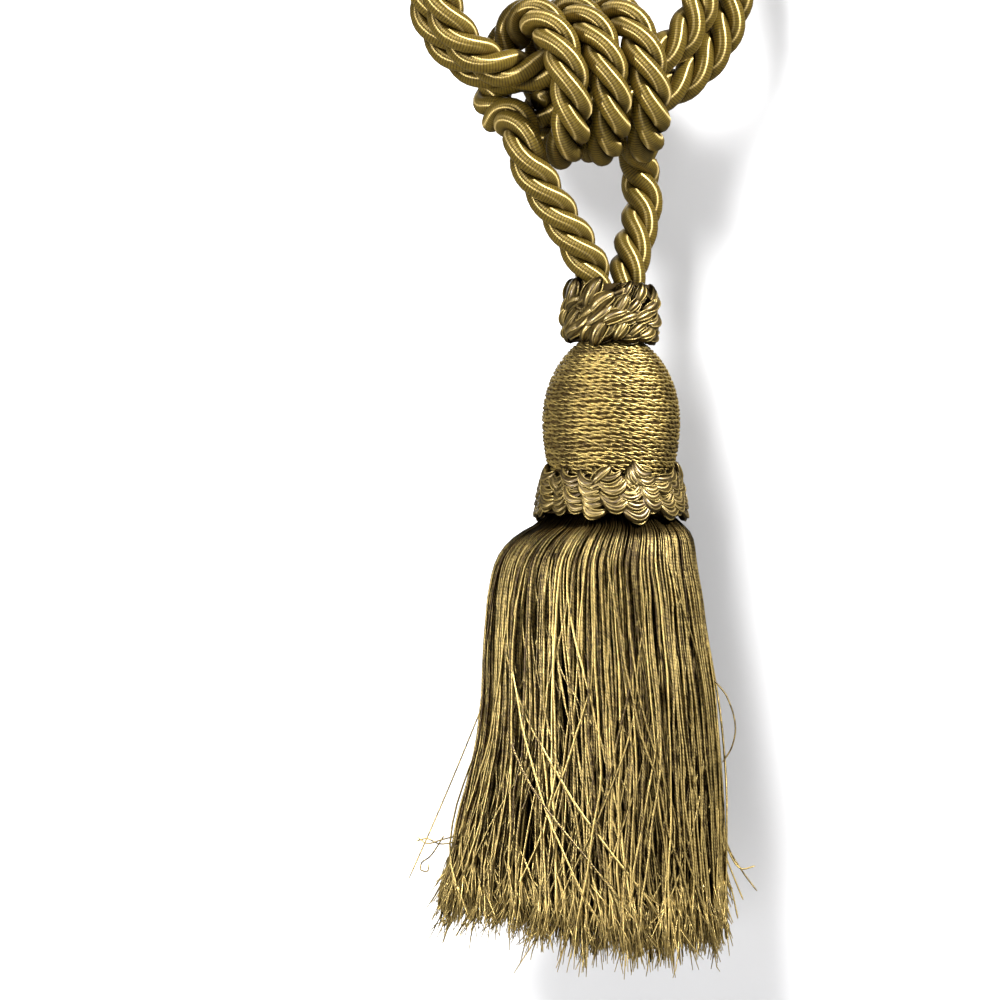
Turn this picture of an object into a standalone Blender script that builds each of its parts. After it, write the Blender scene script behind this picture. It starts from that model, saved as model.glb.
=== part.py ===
"""Curtain tieback tassel: a twisted rope loop, a coil knot and a moulded key tassel.

The tieback hangs from one hook.  The origin is the crown of that hook, where the two
bights of the embrace rope rest on it.  +Z is up, -Y is the front, lengths are in metres.
"""
import math
import random

import bmesh
import bpy
from mathutils import Vector

MM = 0.001

# ---- rope -------------------------------------------------------------------
ROPE_DIAMETER = 12.3 * MM
LAY_LENGTH = 29.5 * MM               # one full turn of a strand round the rope
STRANDS = 3
VALLEY_DEPTH = 2.0 * MM              # how far the groove between two strands sinks in
CLEARANCE = 0.3 * MM                 # air kept between pieces that touch
ROPE_PITCH = ROPE_DIAMETER + CLEARANCE
END_TAPER_LENGTH = 20.0 * MM         # the legs are squeezed where they enter the head
END_TAPER_SCALE = 0.70

# ---- coil knot --------------------------------------------------------------
COIL_CENTRE = Vector((-8.1, 0.0, -330.3)) * MM
COIL_TURN_AWAY = math.radians(20.0)  # the coil's right end points away from the front
COIL_SLOPE = math.radians(6.0)       # and a little upwards
WRAPS = 3
WRAP_SPACING = 12.75 * MM
CORE_RADIUS = ROPE_PITCH / math.sqrt(3.0)
WRAP_RADIUS = CORE_RADIUS + ROPE_PITCH + 0.2 * MM
COIL_HALF = 0.5 * WRAPS * WRAP_SPACING
CORE_FRONT = 0.5 * ROPE_PITCH        # the upper two core ropes lie side by side in depth
CORE_UP = 0.5 * CORE_RADIUS
TUCK_RADIUS = 12.0 * MM              # bend of a leg where it turns under the core

# ---- embrace rope -----------------------------------------------------------
BIGHT_RADIUS = 25.0 * MM
BIGHT_OFFSET = 6.45 * MM             # left bight in front of the hook line, right bight behind
BEND_RADIUS = 26.0 * MM              # the embrace turns up where it leaves the coil
OUTER_BEND_RADIUS = BEND_RADIUS + 14.0 * MM
LEFT_BEND = (0, 20, 40, 60, 80, 98)  # degrees turned, at the route's points
RIGHT_BEND = (0, 20, 40, 60, 80)
BIGHT_ARC = (172, 151, 130, 110, 90, 70, 50, 29, 8)

# ---- tassel -----------------------------------------------------------------
HEAD_TOP = -404.3 * MM
HEAD_WIDEST = -432.5 * MM
HEAD_BOTTOM = -450.2 * MM
HEAD_RADIUS = 20.85 * MM
HEAD_UPPER_HALF = 26.4 * MM
HEAD_LOWER_HALF = 35.0 * MM
NECK_PLUG_RADIUS = 9.0 * MM
NECK_BORE_RADIUS = 9.6 * MM
NECK_MOUTH_RADIUS = 12.1 * MM        # the bore widens upwards round both legs
NECK_BRAID_RADIUS = 14.6 * MM
NECK_BRAID_TOP = -391.0 * MM
NECK_BRAID_BOTTOM = -409.4 * MM
NECK_LOOPS = 12
BACKING_TOP = HEAD_BOTTOM - CLEARANCE
BACKING_RADIUS = 20.0 * MM
BACKING_SHOULDER = -461.7 * MM
BACKING_BOTTOM = -463.2 * MM
SKIRT_ROOT_RADIUS = 24.4 * MM
BASE_BORE_RADIUS = BACKING_RADIUS + CLEARANCE
BASE_BRAID_RADIUS = 22.6 * MM
BASE_BRAID_TOP = -446.0 * MM
BASE_BRAID_BOTTOM = -461.4 * MM
BASE_COLUMNS = 24
LOOP_BULGE = 0.9 * MM

# Skirt: (depth below the backing, half width, centre x, left fan), in millimetres.
SKIRT_PROFILE = (
    (0.0, 24.4, 0.0, 0.0),
    (12.0, 29.6, -4.4, 0.0),
    (36.0, 32.4, -4.2, 0.0),
    (62.0, 34.2, -3.0, 1.0),
    (92.0, 36.2, -2.8, 8.0),
    (132.0, 38.0, -2.4, 19.0),
)
SKIRT_FLATTEN = 0.88                 # depth of the hanging skirt against its width
SKIRT_LENGTH = 129.0 * MM
LENGTH_SPREAD = 3.4 * MM
FAN_SHORTENING = 13.0 * MM           # the left locks swing out, so they end higher
FAN_START = 0.35
LOCK_FILL = 0.76                     # share of its pitch that a lock fills
LOCK_DEPTH_FILL = 0.8                # and of its ring's depth
LOCK_TIP = 0.45
# Rings of locks: (locks, outer radius, inner radius in millimetres, bends along the length).
LOCK_RINGS = (
    (72, 24.4, 21.6, (0.09, 0.30, 0.62, 1.0)),
    (50, 20.4, 17.4, (0.09, 0.45, 1.0)),
    (28, 15.4, 11.4, (0.12, 1.0)),
)

ROPE_GOLD = (0.20, 0.14, 0.035)
YARN_GOLD = (0.36, 0.27, 0.09)
SKIRT_GOLD = (0.33, 0.24, 0.07)


def clear_scene():
    """Remove what the file opens with."""
    for item in list(bpy.data.objects):
        bpy.data.objects.remove(item, do_unlink=True)


def satin(name, colour, roughness):
    """Return a plain Principled material for one piece."""
    material = bpy.data.materials.new(name)
    material.use_nodes = True
    shader = material.node_tree.nodes["Principled BSDF"]
    shader.inputs["Base Color"].default_value = (*colour, 1.0)
    shader.inputs["Roughness"].default_value = roughness
    shader.inputs["Metallic"].default_value = 0.0
    return material


def add_piece(name, bm, colour, roughness=0.5):
    """Turn a bmesh into a named, smooth-shaded object with its own material."""
    bmesh.ops.recalc_face_normals(bm, faces=bm.faces)
    mesh = bpy.data.meshes.new(name)
    bm.to_mesh(mesh)
    bm.free()
    mesh.shade_smooth()
    mesh.set_sharp_from_angle(angle=math.radians(60.0))
    piece = bpy.data.objects.new(name, mesh)
    piece.data.materials.append(satin(name + "_finish", colour, roughness))
    bpy.context.scene.collection.objects.link(piece)
    return piece


# ---- smooth routes ----------------------------------------------------------
def catmull_rom(p0, p1, p2, p3, t):
    """Return a point of the centripetal curve between p1 and p2."""
    k1 = max((p1 - p0).length, 1e-9) ** 0.5
    k2 = k1 + max((p2 - p1).length, 1e-9) ** 0.5
    k3 = k2 + max((p3 - p2).length, 1e-9) ** 0.5
    u = k1 + t * (k2 - k1)
    a1 = p0.lerp(p1, u / k1)
    a2 = p1.lerp(p2, (u - k1) / (k2 - k1))
    a3 = p2.lerp(p3, (u - k2) / (k3 - k2))
    b1 = a1.lerp(a2, u / k2)
    b2 = a2.lerp(a3, (u - k1) / (k3 - k1))
    return b1.lerp(b2, (u - k1) / (k2 - k1))


def smooth_curve(points, per_span=12):
    """Return many points of one smooth curve through the route's points."""
    ends = [points[0] * 2 - points[1], *points, points[-1] * 2 - points[-2]]
    curve = []
    for index in range(len(points) - 1):
        window = ends[index:index + 4]
        curve += [catmull_rom(*window, step / per_span) for step in range(per_span)]
    curve.append(points[-1].copy())
    return curve


def resample(curve, spacing):
    """Return points at an even spacing along a curve, both ends kept."""
    lengths = [0.0]
    for start, end in zip(curve, curve[1:]):
        lengths.append(lengths[-1] + (end - start).length)
    steps = max(2, round(lengths[-1] / spacing))
    points, segment = [], 0
    for step in range(steps + 1):
        target = lengths[-1] * step / steps
        while segment < len(curve) - 2 and lengths[segment + 1] < target:
            segment += 1
        span = lengths[segment + 1] - lengths[segment]
        points.append(curve[segment].lerp(curve[segment + 1], (target - lengths[segment]) / span))
    return points


# ---- coil frame -------------------------------------------------------------
def coil_axes():
    """Return the coil's unit axes: along it, towards the front, and up."""
    along = Vector((
        math.cos(COIL_TURN_AWAY) * math.cos(COIL_SLOPE),
        math.sin(COIL_TURN_AWAY) * math.cos(COIL_SLOPE),
        math.sin(COIL_SLOPE),
    ))
    front = Vector((math.sin(COIL_TURN_AWAY), -math.cos(COIL_TURN_AWAY), 0.0))
    return along, front, front.cross(along)


def coil_point(along, front, up):
    """Return the world point at these distances from the coil's centre."""
    axes = coil_axes()
    return COIL_CENTRE + axes[0] * along + axes[1] * front + axes[2] * up


def wrap_point(angle):
    """Return a point of the wraps; angle 0 is the front of the first, falling as it winds."""
    turns = -angle / math.tau
    along = (turns + 0.5) * WRAP_SPACING - COIL_HALF
    return coil_point(along, WRAP_RADIUS * math.cos(angle), WRAP_RADIUS * math.sin(angle))


def rising_bend(side, start, front, up, radius, angles):
    """Return points of a core rope that turns upwards beyond the coil's end."""
    points = []
    for angle in angles:
        theta = math.radians(angle)
        along = side * (start + radius * math.sin(theta))
        points.append(coil_point(along, front, up + radius * (1.0 - math.cos(theta))))
    return points


def bight(offset, angles):
    """Return points of a bight over the hook, from one side to the other."""
    centre = Vector((0.0, offset, 0.5 * ROPE_DIAMETER - BIGHT_RADIUS))
    points = []
    for angle in angles:
        theta = math.radians(angle)
        points.append(centre + BIGHT_RADIUS * Vector((math.cos(theta), 0.0, math.sin(theta))))
    return points


def world(*rows):
    """Return points given in millimetres as vectors in metres."""
    return [Vector(row) * MM for row in rows]


def embrace_route():
    """Return the embrace rope's route, from its hidden right end round to its left one."""
    depth = CORE_FRONT
    core = [coil_point(s * COIL_HALF, -depth, CORE_UP) for s in (0.85, 0.3, -0.3)]
    left_back = rising_bend(-1, COIL_HALF, -depth, CORE_UP, BEND_RADIUS, LEFT_BEND)
    left_up = world((-54.0, -9.8, -285), (-51.4, -9.0, -255), (-46.0, -8.2, -215), (-38.4, -7.4, -170),
                    (-31.0, -6.8, -125), (-28.0, -6.6, -90), (-27.4, -6.5, -55))
    left_bight = bight(-BIGHT_OFFSET, BIGHT_ARC)
    left_down = world((22.5, -6.5, -45), (9.5, -6.5, -74), (-4.5, -6.8, -100), (-15.0, -8.2, -128),
                      (-26.4, -12.2, -170), (-35.6, -16.6, -215), (-43.6, -20.0, -255),
                      (-49.4, -22.6, -285))
    left_front = rising_bend(-1, COIL_HALF, depth, CORE_UP, BEND_RADIUS, LEFT_BEND[::-1])
    core_front = [coil_point(s * COIL_HALF, depth, CORE_UP) for s in (-0.4, 0.25)]
    right_inner = rising_bend(1, 0.68 * COIL_HALF, depth, CORE_UP, BEND_RADIUS, RIGHT_BEND)
    right_up = world((26.3, 8.0, -284), (24.0, 7.8, -255), (21.2, 7.4, -215), (17.6, 7.0, -170),
                     (12.4, 6.6, -128), (4.5, 6.5, -100), (-9.5, 6.5, -74), (-22.5, 6.5, -45))
    right_bight = bight(BIGHT_OFFSET, BIGHT_ARC)
    right_down = world((27.4, 6.5, -55), (27.2, 6.7, -90), (27.0, 7.4, -125), (30.8, 9.6, -170),
                       (34.2, 12.0, -215), (36.4, 14.4, -255), (37.4, 16.2, -284))
    right_outer = rising_bend(1, 0.68 * COIL_HALF, 0.0, -CORE_RADIUS, OUTER_BEND_RADIUS,
                              RIGHT_BEND[::-1])
    core_low = [coil_point(s * COIL_HALF, 0.0, -CORE_RADIUS) for s in (0.0, -0.45, -0.85)]
    return (core + left_back + left_up + left_bight + left_down + left_front + core_front
            + right_inner + right_up + right_bight + right_down + right_outer + core_low)


def left_leg_top():
    """Return the left leg's route under the core and up behind it."""
    bend_front, bend_up = -4.0 * MM, -20.9 * MM
    rows = []
    for angle in (0, 30, 60, 88):
        theta = math.radians(angle)
        front = bend_front + TUCK_RADIUS * math.cos(theta)
        rows.append(coil_point(-24.0 * MM, front, bend_up + TUCK_RADIUS * math.sin(theta)))
    rows += [coil_point(s * MM, n * MM, v * MM) for s, n, v in (
        (-24.0, -9.8, -8.3), (-23.7, -15.2, -5.3), (-22.6, -18.9, 0.4), (-20.4, -19.4, 7.2))]
    return rows


def knot_route():
    """Return the knot rope's route: left leg, tuck, wraps, and right leg."""
    left_leg = world((-4.0, -2.7, -404), (-4.2, -2.9, -397.5), (-5.2, -3.7, -389.5), (-9.8, -6.6, -380.5),
                     (-17.2, -10.5, -369), (-23.6, -13.9, -358.5))
    last = 360 * WRAPS - 270
    wraps = [wrap_point(math.radians(angle)) for angle in range(125, -last - 1, -25)]
    away = [coil_point(s * MM, n * MM, v * MM) for s, n, v in (
        (17.4, -4.9, -21.0), (18.9, -9.2, -24.2), (19.8, -11.4, -30.4))]
    right_leg = world((10.2, 17.2, -367), (8.4, 13.6, -374.5), (6.3, 8.6, -382), (5.1, 4.3, -389.5),
                      (4.2, 2.9, -397.5), (4.0, 2.7, -404))
    return left_leg + left_leg_top() + wraps + away + right_leg


# ---- ropes ------------------------------------------------------------------
def strand_section(points_per_strand):
    """Return (angle, radius) pairs of a three-strand rope's section."""
    radius = 0.5 * ROPE_DIAMETER
    section = []
    for index in range(STRANDS * points_per_strand):
        angle = math.tau * index / (STRANDS * points_per_strand)
        in_valley = index % points_per_strand == 0
        section.append((angle, radius - VALLEY_DEPTH if in_valley else radius))
    return section


def carried_frames(points):
    """Return a side vector for each point, carried along the route without twisting."""
    tangents = []
    for index in range(len(points)):
        ahead = points[min(index + 1, len(points) - 1)]
        behind = points[max(index - 1, 0)]
        tangents.append((ahead - behind).normalized())
    side = tangents[0].orthogonal().normalized()
    frames = []
    for tangent in tangents:
        side = (side - tangent * side.dot(tangent)).normalized()
        frames.append((side, tangent.cross(side)))
    return frames


def end_scale(distance, tapered):
    """Return the rope's scale at a distance from its nearer end."""
    if not tapered or distance >= END_TAPER_LENGTH:
        return 1.0
    blend = distance / END_TAPER_LENGTH
    return END_TAPER_SCALE + (1.0 - END_TAPER_SCALE) * blend


def extrude_cap(bm, cap, ring, positions):
    """Extrude the end cap of a tube and place its corners; return the new cap and ring."""
    new_geometry = bmesh.ops.extrude_face_region(bm, geom=[cap])["geom"]
    new_cap = next(item for item in new_geometry if isinstance(item, bmesh.types.BMFace))
    inner_faces = [cap] if cap.is_valid and any(len(edge.link_faces) > 2 for edge in cap.edges) else []
    bmesh.ops.delete(bm, geom=inner_faces, context="FACES_ONLY")
    new_verts = set(new_cap.verts)
    new_ring = []
    for vert in ring:
        new_ring.append(next(edge.other_vert(vert) for edge in vert.link_edges
                             if edge.other_vert(vert) in new_verts))
    for vert, position in zip(new_ring, positions):
        vert.co = position
    return new_cap, new_ring


def laid_rope(name, route, points_per_strand, steps_per_turn, tapered=False):
    """Build one rope as a solid whose strands are raised along their left-hand lay."""
    points = resample(smooth_curve(route), LAY_LENGTH / steps_per_turn)
    frames = carried_frames(points)
    section = strand_section(points_per_strand)
    length = sum((b - a).length for a, b in zip(points, points[1:]))
    bm = bmesh.new()
    cap, ring, travelled = None, None, 0.0
    for index, point in enumerate(points):
        if index:
            travelled += (point - points[index - 1]).length
        lay = -math.tau * travelled / LAY_LENGTH
        scale = end_scale(min(travelled, length - travelled), tapered)
        side, other = frames[index]
        positions = []
        for angle, radius in section:
            turn = angle + lay
            positions.append(point + scale * radius * (side * math.cos(turn) + other * math.sin(turn)))
        if cap is None:
            ring = [bm.verts.new(position) for position in positions]
            cap = bm.faces.new(ring)
        else:
            cap, ring = extrude_cap(bm, cap, ring, positions)
    bmesh.ops.triangulate(bm, faces=bm.faces)
    return add_piece(name, bm, ROPE_GOLD, 0.4)


# ---- turned and braided pieces ----------------------------------------------
def spin_profile(profile, segments, closed):
    """Return a bmesh of a profile of (radius, height) pairs turned about Z."""
    bm = bmesh.new()
    verts = [bm.verts.new((radius, 0.0, height)) for radius, height in profile]
    edges = [bm.edges.new(pair) for pair in zip(verts, verts[1:])]
    if closed:
        edges.append(bm.edges.new((verts[-1], verts[0])))
    bmesh.ops.spin(bm, geom=verts + edges, axis=(0, 0, 1), cent=(0, 0, 0), angle=math.tau,
                   steps=segments, use_merge=True)
    bmesh.ops.remove_doubles(bm, verts=bm.verts, dist=1e-6)
    return bm


def head_radius(height):
    """Return the moulded head's radius at a height."""
    half = HEAD_UPPER_HALF if height > HEAD_WIDEST else HEAD_LOWER_HALF
    return HEAD_RADIUS * math.sqrt(max(0.0, 1.0 - ((height - HEAD_WIDEST) / half) ** 2))


def build_head():
    """Build the egg-shaped head with the plug that the rope legs enter."""
    shoulder = -409.2 * MM
    rows = 11
    profile = [(0.0, HEAD_TOP), (NECK_PLUG_RADIUS, HEAD_TOP), (NECK_PLUG_RADIUS, shoulder + 0.7 * MM)]
    for row in range(rows + 1):
        height = shoulder + (HEAD_BOTTOM - shoulder) * row / rows
        profile.append((head_radius(height), height))
    profile.append((0.0, HEAD_BOTTOM))
    return add_piece("head", spin_profile(profile, 32, False), YARN_GOLD)


def raise_loops(bm, count, rows, top, bottom, inner):
    """Push the outer face of a ring out into staggered rows of loops."""
    for vert in bm.verts:
        radius = math.hypot(vert.co.x, vert.co.y)
        if radius < inner + CLEARANCE:
            continue
        row = min(rows - 1, int(rows * (top - vert.co.z) / (top - bottom)))
        phase = 0.5 * (row % 2)
        wave = math.cos(count * math.atan2(vert.co.y, vert.co.x) + math.tau * phase)
        out = LOOP_BULGE * wave / radius
        vert.co.x *= 1.0 + out
        vert.co.y *= 1.0 + out


def build_neck_braid():
    """Build the ruff of loops that hides where the legs enter the head."""
    r, t, b = NECK_BRAID_RADIUS, NECK_BRAID_TOP, NECK_BRAID_BOTTOM
    profile = [(NECK_MOUTH_RADIUS, t - 0.4 * MM), (NECK_BORE_RADIUS, b + 7.4 * MM),
               (NECK_BORE_RADIUS, b + 1.2 * MM), (r - 2.2 * MM, b),
               (r, b + 2.2 * MM), (r - 0.9 * MM, b + 5.4 * MM), (r, b + 8.6 * MM),
               (r - 1.0 * MM, t - 6.2 * MM), (r - 0.1 * MM, t - 3.4 * MM), (r - 2.0 * MM, t)]
    bm = spin_profile(profile, 3 * NECK_LOOPS, True)
    raise_loops(bm, NECK_LOOPS, 3, t, b, NECK_MOUTH_RADIUS)
    return add_piece("neck_braid", bm, YARN_GOLD)


def build_base_braid():
    """Build the braid of stacked loops round the foot of the head."""
    r, t, b = BASE_BRAID_RADIUS, BASE_BRAID_TOP, BASE_BRAID_BOTTOM
    profile = [(BASE_BORE_RADIUS, t - 0.4 * MM), (BASE_BORE_RADIUS, b + 0.3 * MM), (r - 0.8 * MM, b),
               (r, b + 2.4 * MM), (r - 0.6 * MM, b + 5.2 * MM), (r + 0.1 * MM, b + 7.8 * MM),
               (r - 0.6 * MM, b + 10.4 * MM), (r, b + 13.0 * MM), (r - 1.1 * MM, t)]
    bm = spin_profile(profile, 2 * BASE_COLUMNS, True)
    raise_loops(bm, BASE_COLUMNS, 1, t, b, BASE_BORE_RADIUS)
    return add_piece("base_braid", bm, YARN_GOLD)


# ---- skirt ------------------------------------------------------------------
def skirt_row(depth):
    """Return (half width, centre, fan) in metres at a depth below the backing."""
    below = depth / MM
    for upper, lower in zip(SKIRT_PROFILE, SKIRT_PROFILE[1:]):
        if below <= lower[0]:
            blend = (below - upper[0]) / (lower[0] - upper[0])
            blend = 0.5 * blend + 0.5 * blend * blend * (3.0 - 2.0 * blend)
            return [MM * (a + (b - a) * blend) for a, b in zip(upper[1:], lower[1:])]
    return [MM * value for value in SKIRT_PROFILE[-1][1:]]


def hang(x, y, depth):
    """Carry a root position down the skirt; neighbours never cross."""
    half, centre, fan = skirt_row(depth)
    across, deep = x / SKIRT_ROOT_RADIUS, y / SKIRT_ROOT_RADIUS
    swing = max(0.0, -across - FAN_START) / (1.0 - FAN_START)
    flatten = 1.0 + (SKIRT_FLATTEN - 1.0) * min(1.0, depth / (30.0 * MM))
    return Vector((centre + half * across - fan * swing ** 1.6, half * deep * flatten,
                   BACKING_BOTTOM - depth))


def lock_corners(angle, spread, outer, inner, depth, fill):
    """Return a lock's four corners at a depth, as a fraction of its own sector."""
    middle = 0.5 * (outer + inner)
    reach = 0.5 * (outer - inner)
    corners = []
    for radial, tangential in ((1, -1), (1, 1), (-1, 1), (-1, -1)):
        radius = middle + radial * reach * fill[0]
        turn = angle + tangential * spread * fill[1]
        corners.append(hang(radius * math.cos(turn), radius * math.sin(turn), depth))
    return corners


def ring_of_verts(bm, radius, height, count):
    """Add a level ring of vertices."""
    ring = []
    for index in range(count):
        angle = math.tau * index / count
        ring.append(bm.verts.new((radius * math.cos(angle), radius * math.sin(angle), height)))
    return ring


def stitch(bm, first, second):
    """Bridge two rings of vertices that may differ in number."""
    loops = []
    for ring in (first, second):
        for pair in zip(ring, ring[1:] + ring[:1]):
            loops.append(bm.edges.get(pair) or bm.edges.new(pair))
    bmesh.ops.bridge_loops(bm, edges=loops)


def hang_lock(bm, face, angle, spread, outer, inner, levels, chance):
    """Extrude one lock down from its root face, wider on the way and narrow at its tip."""
    swing = max(0.0, -math.cos(angle) - FAN_START) / (1.0 - FAN_START)
    length = SKIRT_LENGTH - FAN_SHORTENING * swing + chance.uniform(-1.0, 1.0) * LENGTH_SPREAD
    drift = chance.uniform(-0.16, 0.16) * spread
    roots = lock_corners(angle, spread, outer, inner, 0.0, (1.0, 1.0))
    cap = face
    ring = [min(face.verts, key=lambda vert: (vert.co - root).length) for root in roots]
    for part in levels:
        fill = LOCK_TIP if part == levels[-1] else 1.0
        shape = (LOCK_DEPTH_FILL * fill, 2.0 * LOCK_FILL * fill)
        corners = lock_corners(angle + drift * part, spread, outer, inner, length * part, shape)
        cap, ring = extrude_cap(bm, cap, ring, corners)


def build_skirt():
    """Build the backing under the head and the rings of locks that hang from it."""
    chance = random.Random(7)
    bm = bmesh.new()
    sectors = 2 * LOCK_RINGS[0][0]
    top = ring_of_verts(bm, BACKING_RADIUS, BACKING_TOP, sectors // 4)
    bm.faces.new(top)
    waist = ring_of_verts(bm, BACKING_RADIUS, BACKING_SHOULDER, sectors // 4)
    stitch(bm, top, waist)
    above = waist
    roots = []
    for locks, outer, inner, levels in LOCK_RINGS:
        rim = ring_of_verts(bm, outer * MM, BACKING_BOTTOM, 2 * locks)
        stitch(bm, above, rim)
        inside = ring_of_verts(bm, inner * MM, BACKING_BOTTOM, 2 * locks)
        spread = 0.5 * math.pi / locks
        for index in range(2 * locks):
            after = (index + 1) % (2 * locks)
            face = bm.faces.new((rim[index], rim[after], inside[after], inside[index]))
            if index % 2 == 0:
                roots.append((face, (index + 0.5) * 2.0 * spread, spread, outer * MM, inner * MM,
                              levels))
        above = inside
    bm.faces.new(above)
    bmesh.ops.recalc_face_normals(bm, faces=bm.faces)
    for root in roots:
        hang_lock(bm, *root, chance)
    bmesh.ops.triangulate(bm, faces=bm.faces)
    return add_piece("skirt", bm, SKIRT_GOLD, 0.55)


def main():
    """Build every piece of the tieback."""
    clear_scene()
    laid_rope("embrace_rope", embrace_route(), 2, 7)
    laid_rope("knot_rope", knot_route(), 3, 8, tapered=True)
    build_neck_braid()
    build_head()
    build_base_braid()
    build_skirt()


if __name__ == "__main__":
    main()
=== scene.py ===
"""Curtain tieback tassel, dressed: laid satin ropes, a bound head, two ruffs and a thread skirt.

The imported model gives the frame: +Z is up, the front faces -Y, and lengths are in metres.
"""
import logging
import math
from dataclasses import dataclass
from enum import Enum

import bmesh
import bpy
import numpy as np
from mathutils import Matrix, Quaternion, Vector

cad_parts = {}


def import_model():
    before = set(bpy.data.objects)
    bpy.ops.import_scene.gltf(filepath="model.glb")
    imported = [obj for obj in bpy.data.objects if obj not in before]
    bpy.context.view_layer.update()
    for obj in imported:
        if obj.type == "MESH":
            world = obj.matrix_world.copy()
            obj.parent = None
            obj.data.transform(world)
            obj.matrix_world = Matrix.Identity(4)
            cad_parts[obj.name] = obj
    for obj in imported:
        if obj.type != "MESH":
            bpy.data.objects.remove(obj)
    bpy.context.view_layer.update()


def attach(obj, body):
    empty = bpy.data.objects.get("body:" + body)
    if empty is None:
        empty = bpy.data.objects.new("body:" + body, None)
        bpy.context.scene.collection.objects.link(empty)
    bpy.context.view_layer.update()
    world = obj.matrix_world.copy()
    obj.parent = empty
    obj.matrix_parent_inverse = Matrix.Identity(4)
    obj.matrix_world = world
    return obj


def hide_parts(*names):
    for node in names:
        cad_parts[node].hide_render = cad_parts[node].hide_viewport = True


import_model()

MM = 0.001
TAU = math.tau
LOG = logging.getLogger("tieback")
LONGEST_SPAN = 48                    # rings that one yarn is extruded through in a row
SAME_PLACE = 0.0001 * MM             # ends of spans this close are one

# ---- places shared by several pieces, as in the part ------------------------
ROPE_DIAMETER = 12.3 * MM
LAY_LENGTH = 29.5 * MM
CLEARANCE = 0.3 * MM
ROPE_PITCH = ROPE_DIAMETER + CLEARANCE
COIL_CENTRE = Vector((-8.1, 0.0, -330.3)) * MM
COIL_TURN_AWAY = math.radians(20.0)
COIL_SLOPE = math.radians(6.0)
WRAPS = 3
WRAP_SPACING = 12.75 * MM
CORE_RADIUS = ROPE_PITCH / math.sqrt(3.0)
WRAP_RADIUS = CORE_RADIUS + ROPE_PITCH + 0.2 * MM
COIL_HALF = 0.5 * WRAPS * WRAP_SPACING
CORE_FRONT = 0.5 * ROPE_PITCH
CORE_UP = 0.5 * CORE_RADIUS
TUCK_RADIUS = 12.0 * MM
BIGHT_RADIUS = 25.0 * MM
BIGHT_OFFSET = 6.45 * MM
BEND_RADIUS = 26.0 * MM
OUTER_BEND_RADIUS = BEND_RADIUS + 14.0 * MM
LEFT_BEND = (0, 20, 40, 60, 80, 98)
RIGHT_BEND = (0, 20, 40, 60, 80)
BIGHT_ARC = (172, 151, 130, 110, 90, 70, 50, 29, 8)
LEG_TAPER_LENGTH = 20.0 * MM
LEG_TAPER_SCALE = 0.70


# ---- yarns swept along lines --------------------------------------------------
@dataclass
class YarnBatch:
    """Round yarns with the same number of points.

    Attributes:
        lines: centre lines, shaped (yarns, points, 3).
        radii: radius at each point, shaped (yarns, points).
        sides: corners of a yarn's section.
        tones: one tone for each yarn, 0 dull to 1 bright.
        painted_shade: painted shade on each corner, 0 to 1, mostly set by how deep it lies
        among its neighbours, shaped (yarns, points, sides) or so that it spreads to that.
    """

    lines: np.ndarray
    radii: np.ndarray
    sides: int
    tones: np.ndarray
    painted_shade: np.ndarray | float = 0.0

    def rings(self) -> np.ndarray:
        """Return the corner positions, shaped (yarns, points, sides, 3)."""
        side, up = carried_frames(self.lines)
        turn = TAU * np.arange(self.sides) / self.sides
        out = side[:, :, None] * np.cos(turn)[:, None] + up[:, :, None] * np.sin(turn)[:, None]
        return self.lines[:, :, None] + out * self.radii[:, :, None, None]

    def travelled(self) -> np.ndarray:
        """Return each point's distance along its yarn."""
        steps = np.linalg.norm(np.diff(self.lines, axis=1), axis=2)
        return np.pad(np.cumsum(steps, axis=1), ((0, 0), (1, 0)))


def carried_frames(lines: np.ndarray, first_side: Vector | None = None) -> tuple:
    """Carry a side vector along each line without twisting it.

    Args:
        lines: centre lines, shaped (lines, points, 3).
        first_side: side vector at the start, or None for any.

    Returns:
        Unit side vectors and the vectors square to them and to the line.
    """
    tangents = np.gradient(lines, axis=1)
    tangents /= np.linalg.norm(tangents, axis=2, keepdims=True)
    if first_side is None:
        steep = np.abs(tangents[:, 0, 2:]) > 0.9
        side = np.cross(tangents[:, 0], np.where(steep, (1.0, 0.0, 0.0), (0.0, 0.0, 1.0)))
    else:
        side = np.tile(np.array(first_side), (len(lines), 1))
    sides = np.empty_like(lines)
    for point in range(lines.shape[1]):
        tangent = tangents[:, point]
        side = side - tangent * np.sum(side * tangent, axis=1, keepdims=True)
        side /= np.linalg.norm(side, axis=1, keepdims=True)
        sides[:, point] = side
    return sides, np.cross(tangents, sides)


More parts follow.
